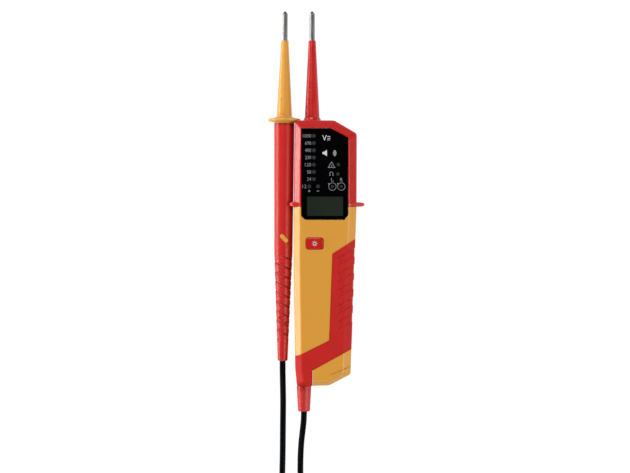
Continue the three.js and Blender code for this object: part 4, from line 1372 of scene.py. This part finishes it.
def make_load_key():
    """Pill-shaped key with a domed, rounded top."""
    top = float(barrel_radius(LOAD_Y)) + LOAD_PROUD
    steps = np.array([(0.0, 3.2), (0.0, top - 0.55), (0.08, top - 0.3), (0.26, top - 0.12),
                      (0.5, top - 0.04), (0.9, top)])
    return stacked("load_key", [pill_outline(-inset) for inset in steps[:, 0]],
                   steps[:, 1])


class TESTER_OT_probe(Operator):
    """Builds the probe handle's barrel with its spiral grip, and the load key"""

    bl_idname = "tester.probe"
    bl_label = "Probe handle"

    def execute(self, context):
        barrel = lean(mark_grooves(make_barrel()))
        stand_for("probe_barrel", barrel, "probe_handle", "barrel_red", 50.0)
        stand_for("load_key", lean(make_load_key()), "load_key", "housing_yellow")
        return {"FINISHED"}


# ---- Cable ----
CABLE_Z = 2.2  # height of the cable's centre where it lies on the surface
DISPLAY_LEAD = (
    (-5.7, -145.2, 13.0), (-5.9, -151.0, 12.6), (-6.6, -158.0, 11.0), (-7.5, -166.0, 8.0),
    (-8.1, -175.0, 4.8), (-8.3, -183.0, 2.8), (-8.2, -191.0, CABLE_Z),
    (-7.2, -197.4, CABLE_Z), (-3.8, -203.4, CABLE_Z), (2.0, -208.6, CABLE_Z),
    (9.0, -213.4, CABLE_Z), (14.3, -219.0, CABLE_Z), (16.3, -225.6, CABLE_Z),
)
PROBE_LEAD = (
    (-20.71, -109.75, 13.0), (-20.7, -116.0, 12.5), (-20.6, -124.0, 10.2),
    (-20.5, -133.0, 6.6), (-20.5, -142.0, 3.7), (-20.6, -151.0, 2.4),
    (-20.7, -161.0, CABLE_Z), (-20.8, -173.0, CABLE_Z), (-21.0, -184.0, CABLE_Z),
    (-21.3, -191.6, CABLE_Z), (-22.6, -198.2, CABLE_Z), (-26.4, -204.6, CABLE_Z),
    (-32.0, -209.6, 2.4), (-38.4, -214.2, 3.3), (-42.7, -219.6, 4.5),
    (-44.6, -226.0, 5.5), (-45.2, -234.5, 6.2),
)
COIL_CENTRE = (-14.5, -243.0)
COIL_STEP = math.radians(20.0)
CLIMB = math.radians(150.0)  # turn in which the cable climbs to the second layer
FOLLOW_TURN = math.radians(30.0)  # slant of a direction across the cable; the operator works out its two end levels along it
END_GAP = 0.2  # from the cable's surface to those two end levels


def coil_points(sizes):
    """Middle line of the coil.

    The angle runs on at an even rate. The radius shrinks from the outer to the inner turn
    on the lower layer and grows again on the upper one; the height changes in a smooth
    step where the radius is smallest.
    """
    half_turn = 2 * math.pi * sizes.coil_turns
    angle = np.arange(0.0, 2 * half_turn + COIL_STEP / 2, COIL_STEP)
    width = sizes.coil_turns * sizes.coil_pitch / 2
    share = np.abs(angle / half_turn - 1.0)
    radius = sizes.coil_radius - width + 2 * width * share
    climb = ease_step(angle, half_turn - CLIMB / 2, half_turn + CLIMB / 2)
    return np.column_stack([
        COIL_CENTRE[0] + radius * np.cos(angle),
        COIL_CENTRE[1] - radius * np.sin(angle),
        CABLE_Z + sizes.coil_pitch * climb,
    ])


def smooth_line(points, step):
    """Catmull-Rom curve through the points, sampled at an even step of its length."""
    knots = np.concatenate([[0.0], np.cumsum(np.linalg.norm(np.diff(points, axis=0), axis=1))])
    slope = np.gradient(points, knots, axis=0)
    place_at = np.linspace(0.0, knots[-1], int(knots[-1] / step))
    i = np.clip(np.searchsorted(knots, place_at, side="right") - 1, 0, len(knots) - 2)
    gap = (knots[i + 1] - knots[i])[:, None]
    s = ((place_at - knots[i])[:, None]) / gap
    return (
        (2 * s ** 3 - 3 * s ** 2 + 1) * points[i] + (s ** 3 - 2 * s ** 2 + s) * gap * slope[i]
        + (3 * s ** 2 - 2 * s ** 3) * points[i + 1] + (s ** 3 - s ** 2) * gap * slope[i + 1]
    )


def tube(name, line, radius):
    """Round tube: a circle carried along the line, upright on each point's tangent."""
    tangent = np.gradient(line, axis=0)
    tangent /= np.linalg.norm(tangent, axis=1, keepdims=True)
    side = np.cross(tangent, [0.0, 0.0, 1.0])
    side /= np.linalg.norm(side, axis=1, keepdims=True)
    top = np.cross(side, tangent)
    angle = around(14)
    rings = (line[:, None] + radius * (np.cos(angle)[None, :, None] * side[:, None]
                                       + np.sin(angle)[None, :, None] * top[:, None]))
    return loft(name, rings[:, ::-1])


class TESTER_OT_cable(Operator):
    """Builds the cable from one handle through its coil to the other"""

    bl_idname = "tester.cable"
    bl_label = "Cable"

    def execute(self, context):
        sizes = context.scene.tester_cable
        route = np.vstack([DISPLAY_LEAD, coil_points(sizes), PROBE_LEAD[::-1]])
        line = smooth_line(route, 2.0)
        radius = sizes.diameter / 2
        cable = tube("cable", line, radius)
        smooth(cable, 60.0, False)
        cable.data.materials.append(FINISHES["cable_black"])
        across = np.array([-math.cos(FOLLOW_TURN), math.sin(FOLLOW_TURN), 0.0])
        first = float(line[0] @ across) + radius + END_GAP
        last = float(line[-1] @ across) - radius - END_GAP
        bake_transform(cable)
        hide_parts("cable_lead_display", "cable_coil", "cable_lead_probe")
        tuple(line[0] * MM)
        (line * MM).tolist()
        return {"FINISHED"}


# ---- Stage ----
VIEW_CENTRE = (2.0, -22.4)
VIEW_WIDTH = 441.0
VIEW_DISTANCE = 1400.0
VIEW_PLANE = 15.0
SENSOR = 36.0
FLOOR_Z = -0.2
FLOOR_HALF = 6000.0
LIGHTS = (  # name, place, aimed at, width, height, watts; in metres
    ("left_softbox", (-0.85, 0.02, 0.09), (0.0, 0.0, 0.01), 1.5, 0.17, 9.5),
    ("top_softbox", (-0.25, 0.65, 0.85), (0.0, 0.0, 0.0), 0.6, 0.3, 8.4),
    ("base_softbox", (-0.25, -0.85, 0.75), (0.0, 0.0, 0.0), 0.7, 0.35, 3.6),
    ("right_fill", (0.85, -0.3, 0.78), (0.0, 0.0, 0.0), 0.7, 0.5, 7.8),
)


def softbox(name, place_at, aim, width, height, power):
    """Rectangular soft light that faces a point; places in metres."""
    light = bpy.data.lights.new(name, "AREA")
    light.shape = "RECTANGLE"
    light.size = width
    light.size_y = height
    light.energy = power
    obj = bpy.data.objects.new(name, light)
    bpy.context.scene.collection.objects.link(obj)
    obj.location = place_at
    obj.rotation_euler = (Vector(aim) - Vector(place_at)).to_track_quat("-Z", "Y").to_euler()
    return obj


def studio_world():
    """Bright band round the horizon under a dim sky, so that flat glossy faces stay dark."""
    world = bpy.data.worlds.new("studio")
    bpy.context.scene.world = world
    world.use_nodes = True
    sky = Nodes(world.node_tree)
    direction = sky.add("ShaderNodeTexCoord").outputs["Generated"]
    axes = sky.add("ShaderNodeSeparateXYZ", {"Vector": direction})
    level = sky.add("ShaderNodeMapRange", {
        "Value": axes.outputs["Z"], "From Min": 0.1, "From Max": 0.25,
        "To Min": 0.75, "To Max": 0.012,
    })
    background = world.node_tree.nodes["Background"]
    sky.put((1.0, 1.0, 1.0, 1.0), background.inputs["Color"])
    sky.put(level.outputs[0], background.inputs["Strength"])


class TESTER_OT_stage(Operator):
    """Builds the pale floor, the soft lights and the camera straight above"""

    bl_idname = "tester.stage"
    bl_label = "Stage"

    def execute(self, context):
        scene = context.scene
        half = FLOOR_HALF
        corners = rectangle((-half, -half), (half, half))
        floor = make_object("floor", np.column_stack([corners, np.full(4, FLOOR_Z)]),
                            [(0, 1, 2, 3)])
        pale = Finish("pale_floor", Roughness=0.9, Specular_IOR_Level=0.0,
                      Emission_Strength=0.95, Emission_Color=(1.0, 1.0, 1.0, 1.0),
                      Base_Color=(0.12, 0.12, 0.12, 1.0))
        floor.data.materials.append(pale.material)
        studio_world()
        for light in LIGHTS:
            softbox(*light)
        camera = bpy.data.cameras.new("camera")
        camera.sensor_width = SENSOR
        camera.lens = SENSOR * VIEW_DISTANCE / VIEW_WIDTH
        camera.clip_end = 50.0
        eye = bpy.data.objects.new("camera", camera)
        eye.location = (VIEW_CENTRE[0] * MM, VIEW_CENTRE[1] * MM,
                        (VIEW_DISTANCE + VIEW_PLANE) * MM)
        scene.collection.objects.link(eye)
        scene.camera = eye
        scene.view_settings.view_transform = "Standard"
        return {"FINISHED"}


class TESTER_OT_finishes(Operator):
    """Makes the finishes and gives the inner parts theirs"""

    bl_idname = "tester.finishes"
    bl_label = "Finishes"

    def execute(self, context):
        prepare_finishes()
        dress_model_nodes()
        return {"FINISHED"}


# ---- Panel and run ----
GROUPS = {
    "tester_handle": HandleSizes,
    "tester_probe": ProbeSizes,
    "tester_cable": CableSizes,
    "tester_colours": FinishColours,
}
STEPS = (TESTER_OT_stage, TESTER_OT_finishes, TESTER_OT_cable, TESTER_OT_housing,
         TESTER_OT_grip, TESTER_OT_lower_end, TESTER_OT_display, TESTER_OT_lamp_key,
         TESTER_OT_tips, TESTER_OT_probe)


class TESTER_PT_panel(Panel):
    """Sizes, colours and the steps that build the tester"""

    bl_idname = "TESTER_PT_panel"
    bl_label = "Voltage tester"
    bl_space_type = "VIEW_3D"
    bl_region_type = "UI"
    bl_category = "Tester"

    def draw(self, context):
        for group, kind in GROUPS.items():
            box = self.layout.box()
            for label in kind.__annotations__:
                box.prop(getattr(context.scene, group), label)
        for step in STEPS:
            self.layout.operator(step.bl_idname)


CLASSES = (*GROUPS.values(), *STEPS, TESTER_PT_panel)


def register():
    """Registers the classes and hangs the sizes and colours on the scene."""
    for kind in CLASSES:
        bpy.utils.register_class(kind)
    for name, kind in GROUPS.items():
        setattr(bpy.types.Scene, name, PointerProperty(type=kind))


def unregister():
    """Undoes register."""
    for name in GROUPS:
        delattr(bpy.types.Scene, name)
    for kind in reversed(CLASSES):
        bpy.utils.unregister_class(kind)


def main():
    """Builds the tester step by step."""
    register()
    for step in STEPS:
        group, name = step.bl_idname.split(".")
        getattr(getattr(bpy.ops, group), name)()


if __name__ == "__main__":
    main()
